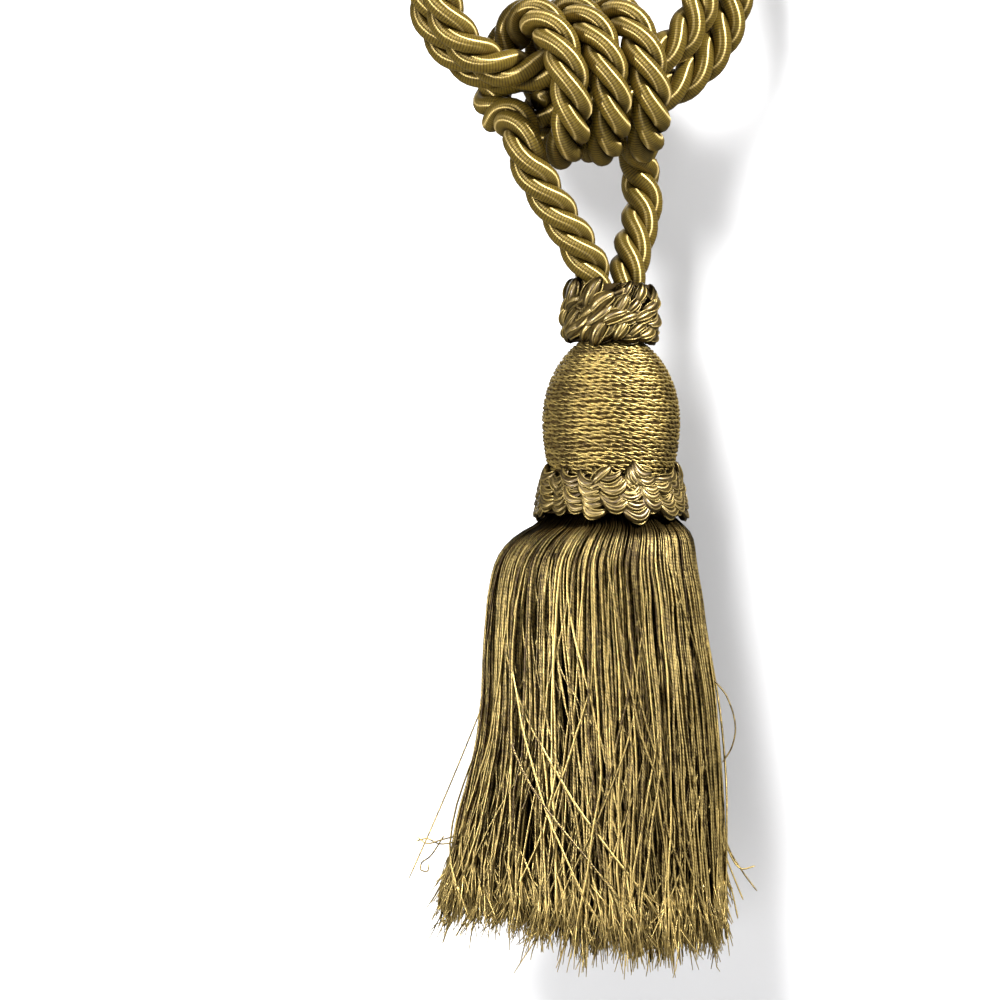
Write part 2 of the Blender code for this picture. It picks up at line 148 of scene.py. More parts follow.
def sweep(bm: bmesh.types.BMesh, batch: YarnBatch, number: int) -> None:
    """Extrude every yarn of a batch ring by ring; long yarns grow in spans, side by side.

    Args:
        bm: the mesh to add to; its vertices carry the layers batch, seat and ring.
        batch: the yarns.
        number: the batch's number in this mesh.
    """
    batch_key, seat_key, ring_key = (bm.verts.layers.int[word] for word in ("batch", "seat", "ring"))
    rings = batch.rings()
    yarns, points, sides = rings.shape[:3]
    span = next(n for n in range(min(LONGEST_SPAN, points - 1), 0, -1) if (points - 1) % n == 0)
    places = rings.transpose(1, 0, 2, 3).reshape(points, yarns * sides, 3).tolist()
    edges = []
    for start in range(0, points - 1, span):
        for yarn in range(yarns):
            ring = []
            for seat in range(yarn * sides, (yarn + 1) * sides):
                vert = bm.verts.new(places[start][seat])
                vert[batch_key], vert[seat_key], vert[ring_key] = number, seat, start
                ring.append(vert)
            edges += [bm.edges.new(pair) for pair in zip(ring, ring[1:] + ring[:1])]
    for _ in range(span):
        made = bmesh.ops.extrude_edge_only(bm, edges=edges)["geom"]
        edges = [item for item in made if isinstance(item, bmesh.types.BMEdge) and item.is_boundary]
        for vert in (item for item in made if isinstance(item, bmesh.types.BMVert)):
            vert[ring_key] += 1
            vert.co = places[vert[ring_key]][vert[seat_key]]


def yarn_mesh(name: str, batches: list[YarnBatch]) -> bpy.types.Mesh:
    """Make one closed mesh of all the batches, with a yarn UV map and a tone for each yarn.

    Args:
        name: the mesh's name.
        batches: the yarns.

    Returns:
        The mesh.  Its UV map runs in metres along a yarn and once round it.
    """
    bm = bmesh.new()
    for word in ("batch", "seat", "ring"):
        bm.verts.layers.int.new(word)
    for number, batch in enumerate(batches):
        sweep(bm, batch, number)
    bmesh.ops.remove_doubles(bm, verts=bm.verts, dist=SAME_PLACE)
    open_edges = [edge for edge in bm.edges if edge.is_boundary]
    bmesh.ops.holes_fill(bm, edges=open_edges, sides=0)
    bmesh.ops.recalc_face_normals(bm, faces=bm.faces)
    mesh = bpy.data.meshes.new(name)
    bm.to_mesh(mesh)
    bm.free()
    mesh.shade_smooth()
    write_yarn_layers(mesh, batches)
    return mesh


def write_yarn_layers(mesh: bpy.types.Mesh, batches: list[YarnBatch]) -> None:
    """Write the yarn UV map and the tone, reach and hollow (painted shade) attributes from the sweep's labels.

    Args:
        mesh: a swept mesh that still carries its labels.
        batches: the batches that it was swept from.
    """
    count = len(mesh.vertices)
    labels = {}
    for word in ("batch", "seat", "ring"):
        labels[word] = np.empty(count, np.int32)
        mesh.attributes[word].data.foreach_get("value", labels[word])
        mesh.attributes.remove(mesh.attributes[word])
    along, round_it, tone, reach, painted_shade = (np.zeros(count, np.float32) for _ in range(5))
    for number, batch in enumerate(batches):
        mine = labels["batch"] == number
        yarn, corner = np.divmod(labels["seat"][mine], batch.sides)
        ring = labels["ring"][mine]
        along[mine] = batch.travelled()[yarn, ring]
        round_it[mine] = corner / batch.sides
        tone[mine] = batch.tones[yarn]
        reach[mine] = ring / (batch.lines.shape[1] - 1)
        shape = (*batch.lines.shape[:2], batch.sides)
        painted_shade[mine] = np.broadcast_to(batch.painted_shade, shape)[yarn, ring, corner]
    for word, values in (("tone", tone), ("reach", reach), ("painted_shade", painted_shade)):
        mesh.attributes.new(word, "FLOAT", "POINT").data.foreach_set("value", values)
    corners = np.empty(len(mesh.loops), np.int32)
    mesh.loops.foreach_get("vertex_index", corners)
    starts = np.empty(len(mesh.polygons), np.int32)
    totals = np.empty(len(mesh.polygons), np.int32)
    mesh.polygons.foreach_get("loop_start", starts)
    mesh.polygons.foreach_get("loop_total", totals)
    turn = round_it[corners]
    across_seam = np.maximum.reduceat(turn, starts) - np.minimum.reduceat(turn, starts) > 0.5
    turn[np.repeat(across_seam, totals) & (turn < 0.25)] += 1.0
    uv_map = mesh.uv_layers.new(name="yarn")
    uv_map.data.foreach_set("uv", np.column_stack([along[corners], turn]).ravel())


def ripple(values: np.ndarray, chance: np.random.Generator, yarns: int, waves: int) -> np.ndarray:
    """Return a smooth random wander for each yarn, about -1 to 1.

    Args:
        values: places along a yarn from 0 to 1.
        chance: source of random numbers.
        yarns: how many yarns.
        waves: how many waves at most run along a yarn.

    Returns:
        Wander shaped (yarns, places).
    """
    wander = np.zeros((yarns, len(values)))
    for wave in range(1, waves + 1):
        phase = chance.uniform(0.0, TAU, (yarns, 1))
        size = chance.normal(0.0, 0.6 / wave, (yarns, 1))
        wander += size * np.sin(math.pi * wave * values[None] + phase)
    return wander


# ---- finishes -----------------------------------------------------------------
# A Mix node keeps its colour sockets after those of its other types.
COLOUR_MIX_INPUTS = (0, 6, 7)
COLOUR_MIX_RESULT = 2


def add_node(tree: bpy.types.NodeTree, kind: str, **settings: object) -> bpy.types.Node:
    """Add a node of a kind and set its properties."""
    node = tree.nodes.new(kind)
    for key, value in settings.items():
        setattr(node, key, value)
    return node


def maths(tree: bpy.types.NodeTree, operation: str, *inputs: object) -> bpy.types.NodeSocket:
    """Add a Math node.

    Args:
        tree: the node tree.
        operation: its operation.
        inputs: sockets to link or numbers to set, in order.

    Returns:
        Its output.
    """
    node = add_node(tree, "ShaderNodeMath", operation=operation)
    for socket, value in zip(node.inputs, inputs):
        if isinstance(value, bpy.types.NodeSocket):
            tree.links.new(value, socket)
        else:
            socket.default_value = value
    return node.outputs[0]


def mixed(tree: bpy.types.NodeTree, share: bpy.types.NodeSocket, first: bpy.types.NodeSocket,
          second: bpy.types.NodeSocket) -> bpy.types.NodeSocket:
    """Mix two colours.

    Args:
        tree: the node tree.
        share: share of the second colour.
        first: the first colour.
        second: the second colour.

    Returns:
        The mixed colour.
    """
    node = add_node(tree, "ShaderNodeMix", data_type="RGBA", clamp_factor=True)
    for index, socket in zip(COLOUR_MIX_INPUTS, (share, first, second)):
        tree.links.new(socket, node.inputs[index])
    return node.outputs[COLOUR_MIX_RESULT]


def new_group(name: str, inputs: dict, outputs: dict) -> tuple:
    """Make an empty shader node group.

    Args:
        name: its name.
        inputs: default value of each input, by name; None for a vector.
        outputs: socket type of each output, by name.

    Returns:
        The group, its input node and its output node.
    """
    group = bpy.data.node_groups.new(name, "ShaderNodeTree")
    for word, value in inputs.items():
        kind = {type(None): "NodeSocketVector", tuple: "NodeSocketColor"}.get(type(value), "NodeSocketFloat")
        socket = group.interface.new_socket(word, in_out="INPUT", socket_type=kind)
        if value is not None:
            socket.default_value = value
    for word, kind in outputs.items():
        group.interface.new_socket(word, in_out="OUTPUT", socket_type=kind)
    return group, group.nodes.new("NodeGroupInput"), group.nodes.new("NodeGroupOutput")


def relief_group() -> bpy.types.NodeTree:
    """Return the group for a yarn's ridges: crosswise ribs, or the slant of its plies."""
    known = bpy.data.node_groups.get("yarn_relief")
    if known:
        return known
    group, given, result = new_group(
        "yarn_relief",
        {"Vector": None, "Pitch": 0.0007, "Plies": 0.0, "Unevenness": 0.3},
        {"Height": "NodeSocketFloat", "Groove": "NodeSocketFloat"},
    )
    split = add_node(group, "ShaderNodeSeparateXYZ")
    group.links.new(given.outputs["Vector"], split.inputs[0])
    noise = add_node(group, "ShaderNodeTexNoise", noise_dimensions="3D")
    noise.inputs["Scale"].default_value = 260.0
    noise.inputs["Detail"].default_value = 1.0
    group.links.new(given.outputs["Vector"], noise.inputs["Vector"])
    shift = maths(group, "MULTIPLY", noise.outputs[0], given.outputs["Unevenness"])
    place = maths(group, "DIVIDE", split.outputs[0], given.outputs["Pitch"])
    slant = maths(group, "MULTIPLY", split.outputs[1], given.outputs["Plies"])
    phase = maths(group, "ADD", maths(group, "ADD", place, slant), shift)
    ridge = maths(group, "ABSOLUTE", maths(group, "SINE", maths(group, "MULTIPLY", phase, math.pi)))
    valley = maths(group, "SUBTRACT", 1.0, ridge)
    group.links.new(ridge, result.inputs["Height"])
    # Groove masks the valleys for the painted shade in the grooves; only Height shapes the bump
    group.links.new(maths(group, "POWER", valley, 1.6), result.inputs["Groove"])
    return group


def tone_group() -> bpy.types.NodeTree:
    """Return the group that colours a yarn by its tone and its place, with painted shade in its grooves and
    crevices.
    """
    known = bpy.data.node_groups.get("yarn_tone")
    if known:
        return known
    group, given, result = new_group(
        "yarn_tone",
        {"Light": (0.5, 0.4, 0.2, 1.0), "Deep": (0.1, 0.07, 0.02, 1.0), "Shadow": (0.009, 0.005, 0.0008, 1.0),
         "Tone": 0.5, "Groove": 0.0, "Groove Shade": 0.5, "Drift": 0.2, "Fleck": 0.3, "Painted Shade": 0.0, "Vector": None},
        {"Color": "NodeSocketColor"},
    )
    noise = add_node(group, "ShaderNodeTexNoise", noise_dimensions="3D")
    noise.inputs["Scale"].default_value = 90.0
    noise.inputs["Detail"].default_value = 3.0
    group.links.new(given.outputs["Vector"], noise.inputs["Vector"])
    centred = maths(group, "SUBTRACT", noise.outputs[0], 0.5)
    drift = maths(group, "MULTIPLY", centred, given.outputs["Drift"])
    fine = add_node(group, "ShaderNodeTexNoise", noise_dimensions="3D")
    fine.inputs["Scale"].default_value = 700.0
    fine.inputs["Detail"].default_value = 1.0
    group.links.new(given.outputs["Vector"], fine.inputs["Vector"])
    flicker = maths(group, "MULTIPLY", maths(group, "SUBTRACT", fine.outputs[0], 0.5), given.outputs["Fleck"])
    # painted shade in the grooves between ribs and plies
    sunk = maths(group, "MULTIPLY", given.outputs["Groove"], given.outputs["Groove Shade"])
    share = maths(group, "SUBTRACT", maths(group, "ADD", given.outputs["Tone"], drift),
                  maths(group, "SUBTRACT", sunk, flicker))
    lit = mixed(group, share, given.outputs["Deep"], given.outputs["Light"])
    # painted shade: darken towards the Shadow colour as far as the Hollow input says
    shaded = mixed(group, given.outputs["Painted Shade"], lit, given.outputs["Shadow"])
    group.links.new(shaded, result.inputs["Color"])
    return group


@dataclass(frozen=True)
class YarnFinish:
    """The finish of a satin yarn.

    Attributes:
        name: the material's name.
        light: colour of the bright yarns and ridges.
        deep: colour of the dull yarns and of the painted shade in the grooves.
        roughness: roughness of the satin.
        metallic: how far the gloss takes the yarn's own colour.
        anisotropic: how far the gloss stretches along the yarn.
        pitch: spacing of the ridges along a yarn.
        plies: how many ridges slant round the yarn; 0 makes crosswise ribs.
        unevenness: how far the ridges stray.
        groove: how dark the painted shade in the grooves is.
        relief: height of the ridges.
        drift: how far the tone wanders over the piece.
        tip: extra tone at a yarn's end.
        fleck: how far the tone flickers from one stretch of a yarn to the next.
        gleam: weight of the thin pale gleam over the satin.
    """

    name: str
    light: tuple
    deep: tuple
    roughness: float
    metallic: float
    anisotropic: float
    pitch: float
    plies: float
    unevenness: float
    groove: float
    relief: float
    drift: float
    tip: float = 0.0
    fleck: float = 0.3
    gleam: float = 0.0

    def material(self) -> bpy.types.Material:
        """Return the finish as a material."""
        material = bpy.data.materials.new(self.name)
        material.use_nodes = True
        tree = material.node_tree
        shader = tree.nodes["Principled BSDF"]
        place = add_node(tree, "ShaderNodeTexCoord")
        yarn = add_node(tree, "ShaderNodeUVMap", uv_map="yarn")
        relief = add_node(tree, "ShaderNodeGroup", node_tree=relief_group())
        tree.links.new(yarn.outputs[0], relief.inputs["Vector"])
        relief.inputs["Pitch"].default_value = self.pitch
        relief.inputs["Plies"].default_value = self.plies
        relief.inputs["Unevenness"].default_value = self.unevenness
        tone = add_node(tree, "ShaderNodeAttribute", attribute_name="tone")
        reach = add_node(tree, "ShaderNodeAttribute", attribute_name="reach")
        tip = maths(tree, "MULTIPLY", maths(tree, "POWER", reach.outputs["Fac"], 6.0), self.tip)
        colour = add_node(tree, "ShaderNodeGroup", node_tree=tone_group())
        colour.inputs["Light"].default_value = (*self.light, 1.0)
        colour.inputs["Deep"].default_value = (*self.deep, 1.0)
        colour.inputs["Groove Shade"].default_value = self.groove
        colour.inputs["Drift"].default_value = self.drift
        colour.inputs["Fleck"].default_value = self.fleck
        tree.links.new(place.outputs["Object"], colour.inputs["Vector"])
        tree.links.new(maths(tree, "ADD", tone.outputs["Fac"], tip), colour.inputs["Tone"])
        tree.links.new(relief.outputs["Groove"], colour.inputs["Groove"])
        painted_shade = add_node(tree, "ShaderNodeAttribute", attribute_name="painted_shade")
        tree.links.new(painted_shade.outputs["Fac"], colour.inputs["Painted Shade"])
        tree.links.new(colour.outputs["Color"], shader.inputs["Base Color"])
        bump = add_node(tree, "ShaderNodeBump")
        bump.inputs["Strength"].default_value = 0.9
        bump.inputs["Distance"].default_value = self.relief
        tree.links.new(relief.outputs["Height"], bump.inputs["Height"])
        tree.links.new(bump.outputs[0], shader.inputs["Normal"])
        tangent = add_node(tree, "ShaderNodeTangent", direction_type="UV_MAP", uv_map="yarn")
        tree.links.new(tangent.outputs[0], shader.inputs["Tangent"])
        shader.inputs["Roughness"].default_value = self.roughness
        # painted shade also dims the gloss: where it is full, the yarn is wholly metallic over its dark shaded
        # colour
        shaded = maths(tree, "MULTIPLY_ADD", painted_shade.outputs["Fac"], 1.0 - self.metallic, self.metallic)
        tree.links.new(shaded, shader.inputs["Metallic"])
        shader.inputs["Anisotropic"].default_value = self.anisotropic
        shader.inputs["Specular IOR Level"].default_value = 1.0
        shader.inputs["Coat Weight"].default_value = self.gleam
        shader.inputs["Coat Roughness"].default_value = 0.20
        return material


ROPE_SATIN = YarnFinish("rope_gimped_satin", (0.255, 0.174, 0.028), (0.018, 0.009, 0.001), 0.38, 0.66, 1.0,
                        0.70 * MM, 0.0, 0.30, 0.62, 0.015 * MM, 0.25)
RUFF_SATIN = YarnFinish("ruff_satin_bundle", (0.41, 0.297, 0.088), (0.030, 0.016, 0.0015), 0.34, 0.76, 0.80,
                        9.0 * MM, 10.0, 0.4, 0.35, 0.015 * MM, 0.60, gleam=0.1)
HEAD_YARN = YarnFinish("head_binding_yarn", (0.43, 0.31, 0.09), (0.055, 0.030, 0.003), 0.34, 0.76, 0.60,
                       0.55 * MM, 1.0, 0.6, 0.35, 0.015 * MM, 0.55, fleck=1.6)
SKIRT_YARN = YarnFinish("skirt_twisted_yarn", (0.57, 0.415, 0.135), (0.032, 0.016, 0.001), 0.34, 0.74, 0.80,
                        1.0 * MM, 2.0, 0.4, 0.62, 0.02 * MM, 0.45, tip=0.45, fleck=1.4)


@dataclass(frozen=True)
class CoreFinish:
    """The dark finish of a mould or core under the yarns, painted shade for the gaps between them."""

    name: str
    colour: tuple

    def material(self) -> bpy.types.Material:
        """Return the finish as a material with a faint mottle."""
        material = bpy.data.materials.new(self.name)
        material.use_nodes = True
        tree = material.node_tree
        shader = tree.nodes["Principled BSDF"]
        place = add_node(tree, "ShaderNodeTexCoord")
        noise = add_node(tree, "ShaderNodeTexNoise")
        noise.inputs["Scale"].default_value = 400.0
        tree.links.new(place.outputs["Object"], noise.inputs["Vector"])
        ramp = add_node(tree, "ShaderNodeValToRGB")
        ramp.color_ramp.elements[0].color = (*(0.6 * value for value in self.colour), 1.0)
        ramp.color_ramp.elements[1].color = (*(1.4 * value for value in self.colour), 1.0)
        tree.links.new(noise.outputs[0], ramp.inputs[0])
        tree.links.new(ramp.outputs[0], shader.inputs["Base Color"])
        shader.inputs["Roughness"].default_value = 0.9
        shader.inputs["Specular IOR Level"].default_value = 0.05
        return material


# Dark finishes under the yarns: painted shade that shows through the gaps.
HEAD_CORE = CoreFinish("head_mould_painted_shade", (0.030, 0.018, 0.005))
RUFF_CORE = CoreFinish("ruff_core_painted_shade", (0.018, 0.011, 0.003))
SKIRT_CORE = CoreFinish("skirt_core_shadow", (0.020, 0.012, 0.004))


def add_piece(name: str, mesh: bpy.types.Mesh, finish: YarnFinish | CoreFinish, slot: str,
              *nodes: str) -> bpy.types.Object:
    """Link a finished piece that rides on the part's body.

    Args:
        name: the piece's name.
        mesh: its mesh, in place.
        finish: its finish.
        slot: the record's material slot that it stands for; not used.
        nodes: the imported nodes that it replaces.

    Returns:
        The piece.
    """
    piece = bpy.data.objects.new(name, mesh)
    bpy.context.scene.collection.objects.link(piece)
    material = bpy.data.materials.get(finish.name) or finish.material()
    mesh.materials.append(material)
    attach(piece, "root")
    if nodes:
        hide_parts(*nodes)
    mesh.calc_loop_triangles()
    LOG.info("%s: %d triangles", name, len(mesh.loop_triangles))
    return piece


# ---- smooth routes ------------------------------------------------------------
def catmull_rom(p0: Vector, p1: Vector, p2: Vector, p3: Vector, t: float) -> Vector:
    """Return a point of the centripetal curve between p1 and p2, at a share t of the way."""
    k1 = max((p1 - p0).length, 1e-9) ** 0.5
    k2 = k1 + max((p2 - p1).length, 1e-9) ** 0.5
    k3 = k2 + max((p3 - p2).length, 1e-9) ** 0.5
    u = k1 + t * (k2 - k1)
    a1 = p0.lerp(p1, u / k1)
    a2 = p1.lerp(p2, (u - k1) / (k2 - k1))
    a3 = p2.lerp(p3, (u - k2) / (k3 - k2))
    b1 = a1.lerp(a2, u / k2)
    b2 = a2.lerp(a3, (u - k1) / (k3 - k1))
    return b1.lerp(b2, (u - k1) / (k2 - k1))


def smooth_curve(points: list[Vector], per_span: int = 12) -> list[Vector]:
    """Return many points of one smooth curve through a route's points."""
    ends = [points[0] * 2 - points[1], *points, points[-1] * 2 - points[-2]]
    curve = []
    for index in range(len(points) - 1):
        window = ends[index:index + 4]
        curve += [catmull_rom(*window, step / per_span) for step in range(per_span)]
    curve.append(points[-1].copy())
    return curve


def resample(curve: list[Vector], spacing: float) -> np.ndarray:
    """Return points at an even spacing along a curve, both ends kept."""
    points = np.array(curve)
    lengths = np.pad(np.cumsum(np.linalg.norm(np.diff(points, axis=0), axis=1)), (1, 0))
    steps = max(2, round(lengths[-1] / spacing))
    targets = np.linspace(0.0, lengths[-1], steps + 1)
    return np.column_stack([np.interp(targets, lengths, points[:, axis]) for axis in range(3)])


def coil_axes() -> tuple:
    """Return the coil's unit axes: along it, towards the front, and up."""
    along = Vector((
        math.cos(COIL_TURN_AWAY) * math.cos(COIL_SLOPE),
        math.sin(COIL_TURN_AWAY) * math.cos(COIL_SLOPE),
        math.sin(COIL_SLOPE),
    ))
    front = Vector((math.sin(COIL_TURN_AWAY), -math.cos(COIL_TURN_AWAY), 0.0))
    return along, front, front.cross(along)


def coil_point(along: float, front: float, up: float) -> Vector:
    """Return the point at these distances from the coil's centre."""
    axes = coil_axes()
    return COIL_CENTRE + axes[0] * along + axes[1] * front + axes[2] * up


def wrap_point(angle: float) -> Vector:
    """Return a point of the wraps; angle 0 is the front of the first, falling as it winds."""
    turns = -angle / TAU
    along = (turns + 0.5) * WRAP_SPACING - COIL_HALF
    return coil_point(along, WRAP_RADIUS * math.cos(angle), WRAP_RADIUS * math.sin(angle))


def rising_bend(side: int, start: float, front: float, up: float, radius: float, angles: tuple) -> list:
    """Return points of a core rope that turns upwards beyond the coil's end."""
    points = []
    for angle in angles:
        theta = math.radians(angle)
        along = side * (start + radius * math.sin(theta))
        points.append(coil_point(along, front, up + radius * (1.0 - math.cos(theta))))
    return points


def bight(offset: float, angles: tuple) -> list:
    """Return points of a bight over the hook, from one side to the other."""
    centre = Vector((0.0, offset, 0.5 * ROPE_DIAMETER - BIGHT_RADIUS))
    points = []
    for angle in angles:
        theta = math.radians(angle)
        points.append(centre + BIGHT_RADIUS * Vector((math.cos(theta), 0.0, math.sin(theta))))
    return points


def world(*rows: tuple) -> list:
    """Return points given in millimetres as vectors in metres."""
    return [Vector(row) * MM for row in rows]


def embrace_route() -> list:
    """Return the embrace rope's route, from its hidden right end round to its left one."""
    depth = CORE_FRONT
    core = [coil_point(s * COIL_HALF, -depth, CORE_UP) for s in (0.85, 0.3, -0.3)]
    left_back = rising_bend(-1, COIL_HALF, -depth, CORE_UP, BEND_RADIUS, LEFT_BEND)
    left_up = world((-54.0, -9.8, -285), (-51.4, -9.0, -255), (-46.0, -8.2, -215), (-38.4, -7.4, -170),
                    (-31.0, -6.8, -125), (-28.0, -6.6, -90), (-27.4, -6.5, -55))
    left_bight = bight(-BIGHT_OFFSET, BIGHT_ARC)
    left_down = world((22.5, -6.5, -45), (9.5, -6.5, -74), (-4.5, -6.8, -100), (-15.0, -8.2, -128),
                      (-26.4, -12.2, -170), (-35.6, -16.6, -215), (-43.6, -20.0, -255),
                      (-49.4, -22.6, -285))
    left_front = rising_bend(-1, COIL_HALF, depth, CORE_UP, BEND_RADIUS, LEFT_BEND[::-1])
    core_front = [coil_point(s * COIL_HALF, depth, CORE_UP) for s in (-0.4, 0.25)]
    right_inner = rising_bend(1, 0.68 * COIL_HALF, depth, CORE_UP, BEND_RADIUS, RIGHT_BEND)
    right_up = world((26.3, 8.0, -284), (24.0, 7.8, -255), (21.2, 7.4, -215), (17.6, 7.0, -170),
                     (12.4, 6.6, -128), (4.5, 6.5, -100), (-9.5, 6.5, -74), (-22.5, 6.5, -45))
    right_bight = bight(BIGHT_OFFSET, BIGHT_ARC)
    right_down = world((27.4, 6.5, -55), (27.2, 6.7, -90), (27.0, 7.4, -125), (30.8, 9.6, -170),
                       (34.2, 12.0, -215), (36.4, 14.4, -255), (37.4, 16.2, -284))
    right_outer = rising_bend(1, 0.68 * COIL_HALF, 0.0, -CORE_RADIUS, OUTER_BEND_RADIUS,
                              RIGHT_BEND[::-1])
    core_low = [coil_point(s * COIL_HALF, 0.0, -CORE_RADIUS) for s in (0.0, -0.45, -0.85)]
    return (core + left_back + left_up + left_bight + left_down + left_front + core_front
            + right_inner + right_up + right_bight + right_down + right_outer + core_low)


def left_leg_top() -> list:
    """Return the left leg's route under the core and up behind it."""
    bend_front, bend_up = -4.0 * MM, -20.9 * MM
    rows = []
    for angle in (0, 30, 60, 88):
        theta = math.radians(angle)
        front = bend_front + TUCK_RADIUS * math.cos(theta)
        rows.append(coil_point(-24.0 * MM, front, bend_up + TUCK_RADIUS * math.sin(theta)))
    rows += [coil_point(s * MM, n * MM, v * MM) for s, n, v in (
        (-24.0, -9.8, -8.3), (-23.7, -15.2, -5.3), (-22.6, -18.9, 0.4), (-20.4, -19.4, 7.2))]
    return rows


def knot_route() -> list:
    """Return the knot rope's route: left leg, tuck, wraps, and right leg."""
    left_leg = world((-4.0, -2.7, -404), (-4.2, -2.9, -397.5), (-5.2, -3.7, -389.5), (-9.8, -6.6, -380.5),
                     (-17.2, -10.5, -369), (-23.6, -13.9, -358.5))
    last = 360 * WRAPS - 270
    wraps = [wrap_point(math.radians(angle)) for angle in range(125, -last - 1, -25)]
    away = [coil_point(s * MM, n * MM, v * MM) for s, n, v in (
        (17.4, -4.9, -21.0), (18.9, -9.2, -24.2), (19.8, -11.4, -30.4))]
    right_leg = world((10.2, 17.2, -367), (8.4, 13.6, -374.5), (6.3, 8.6, -382), (5.1, 4.3, -389.5),
                      (4.2, 2.9, -397.5), (4.0, 2.7, -404))
    return left_leg + left_leg_top() + wraps + away + right_leg


class Ends(Enum):
    """What a rope's ends do."""

    FULL = "full"          # they keep their size, hidden in the coil
    SQUEEZED = "squeezed"  # they narrow where they enter the head


@dataclass
class LaidRope:
    """A rope of three gimped strands, laid to the left.

    Attributes:
        name: the piece's name.
        node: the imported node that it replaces.
        route: the points that it follows.
        ends: what its ends do.
        helix_radius: distance of a strand's centre from the rope's.
        strand_radius: radius of a strand.
        strand_sides: corners of a strand's section.
        steps_per_turn: rings in one turn of the lay.
    """

    name: str
    node: str
    route: list
    ends: Ends
    helix_radius: float = 3.20 * MM
    strand_radius: float = 2.95 * MM
    strands: int = 3
    strand_sides: int = 14
    steps_per_turn: int = 20

    def scales(self, travelled: np.ndarray) -> np.ndarray:
        """Return the rope's scale at distances along it."""
        if self.ends is Ends.FULL:
            return np.ones_like(travelled)
        from_end = np.minimum(travelled, travelled[-1] - travelled)
        return np.interp(from_end, (0.0, LEG_TAPER_LENGTH), (LEG_TAPER_SCALE, 1.0))

    def build(self) -> bpy.types.Object:
        centre = resample(smooth_curve(self.route), LAY_LENGTH / self.steps_per_turn)
        spacing = np.linalg.norm(np.diff(centre, axis=0), axis=1)
        travelled = np.pad(np.cumsum(spacing), (1, 0))
        first_side = Vector(centre[1] - centre[0]).orthogonal().normalized()
        side, up = carried_frames(centre[None], first_side)
        scale = self.scales(travelled)
        lines = []
        for strand in range(self.strands):
            turn = TAU * (strand + 0.5) / self.strands - TAU * travelled / LAY_LENGTH
            out = side[0] * np.cos(turn)[:, None] + up[0] * np.sin(turn)[:, None]
            lines.append(centre + out * (self.helix_radius * scale)[:, None])
        radii = np.tile(self.strand_radius * scale, (self.strands, 1))
        batch = YarnBatch(np.array(lines), radii, self.strand_sides, np.full(self.strands, 0.70))
        # painted shade: the strands darken on the sides that face the rope's axis, between the strands
        from_axis = np.linalg.norm(batch.rings() - centre[None, :, None], axis=3) / scale[None, :, None]
        batch.painted_shade = np.interp(from_axis, (3.6 * MM, 5.5 * MM), (1.0, 0.0)) ** 1.4
        piece = add_piece(self.name, yarn_mesh(self.name, [batch]), ROPE_SATIN, "rope", self.node)
        LOG.info("%s: %.3f m of rope", self.name, travelled[-1])
        return piece


def spun_mesh(name: str, profile: list, closed: bool) -> bpy.types.Mesh:
    """Turn a profile of (radius, height) pairs about Z.

    Args:
        name: the mesh's name.
        profile: the pairs, in order.
        closed: whether the last pair joins the first.

    Returns:
        The mesh, closed and facing out.
    """
    bm = bmesh.new()
    verts = [bm.verts.new((radius, 0.0, height)) for radius, height in profile]
    edges = [bm.edges.new(pair) for pair in zip(verts, verts[1:])]
    if closed:
        edges.append(bm.edges.new((verts[-1], verts[0])))
    bmesh.ops.spin(bm, geom=verts + edges, axis=(0, 0, 1), cent=(0, 0, 0), angle=TAU, steps=64,
                   use_merge=True)
    bmesh.ops.remove_doubles(bm, verts=bm.verts, dist=1e-6)
    bmesh.ops.recalc_face_normals(bm, faces=bm.faces)
    mesh = bpy.data.meshes.new(name)
    bm.to_mesh(mesh)
    bm.free()
    mesh.shade_smooth()
    return mesh


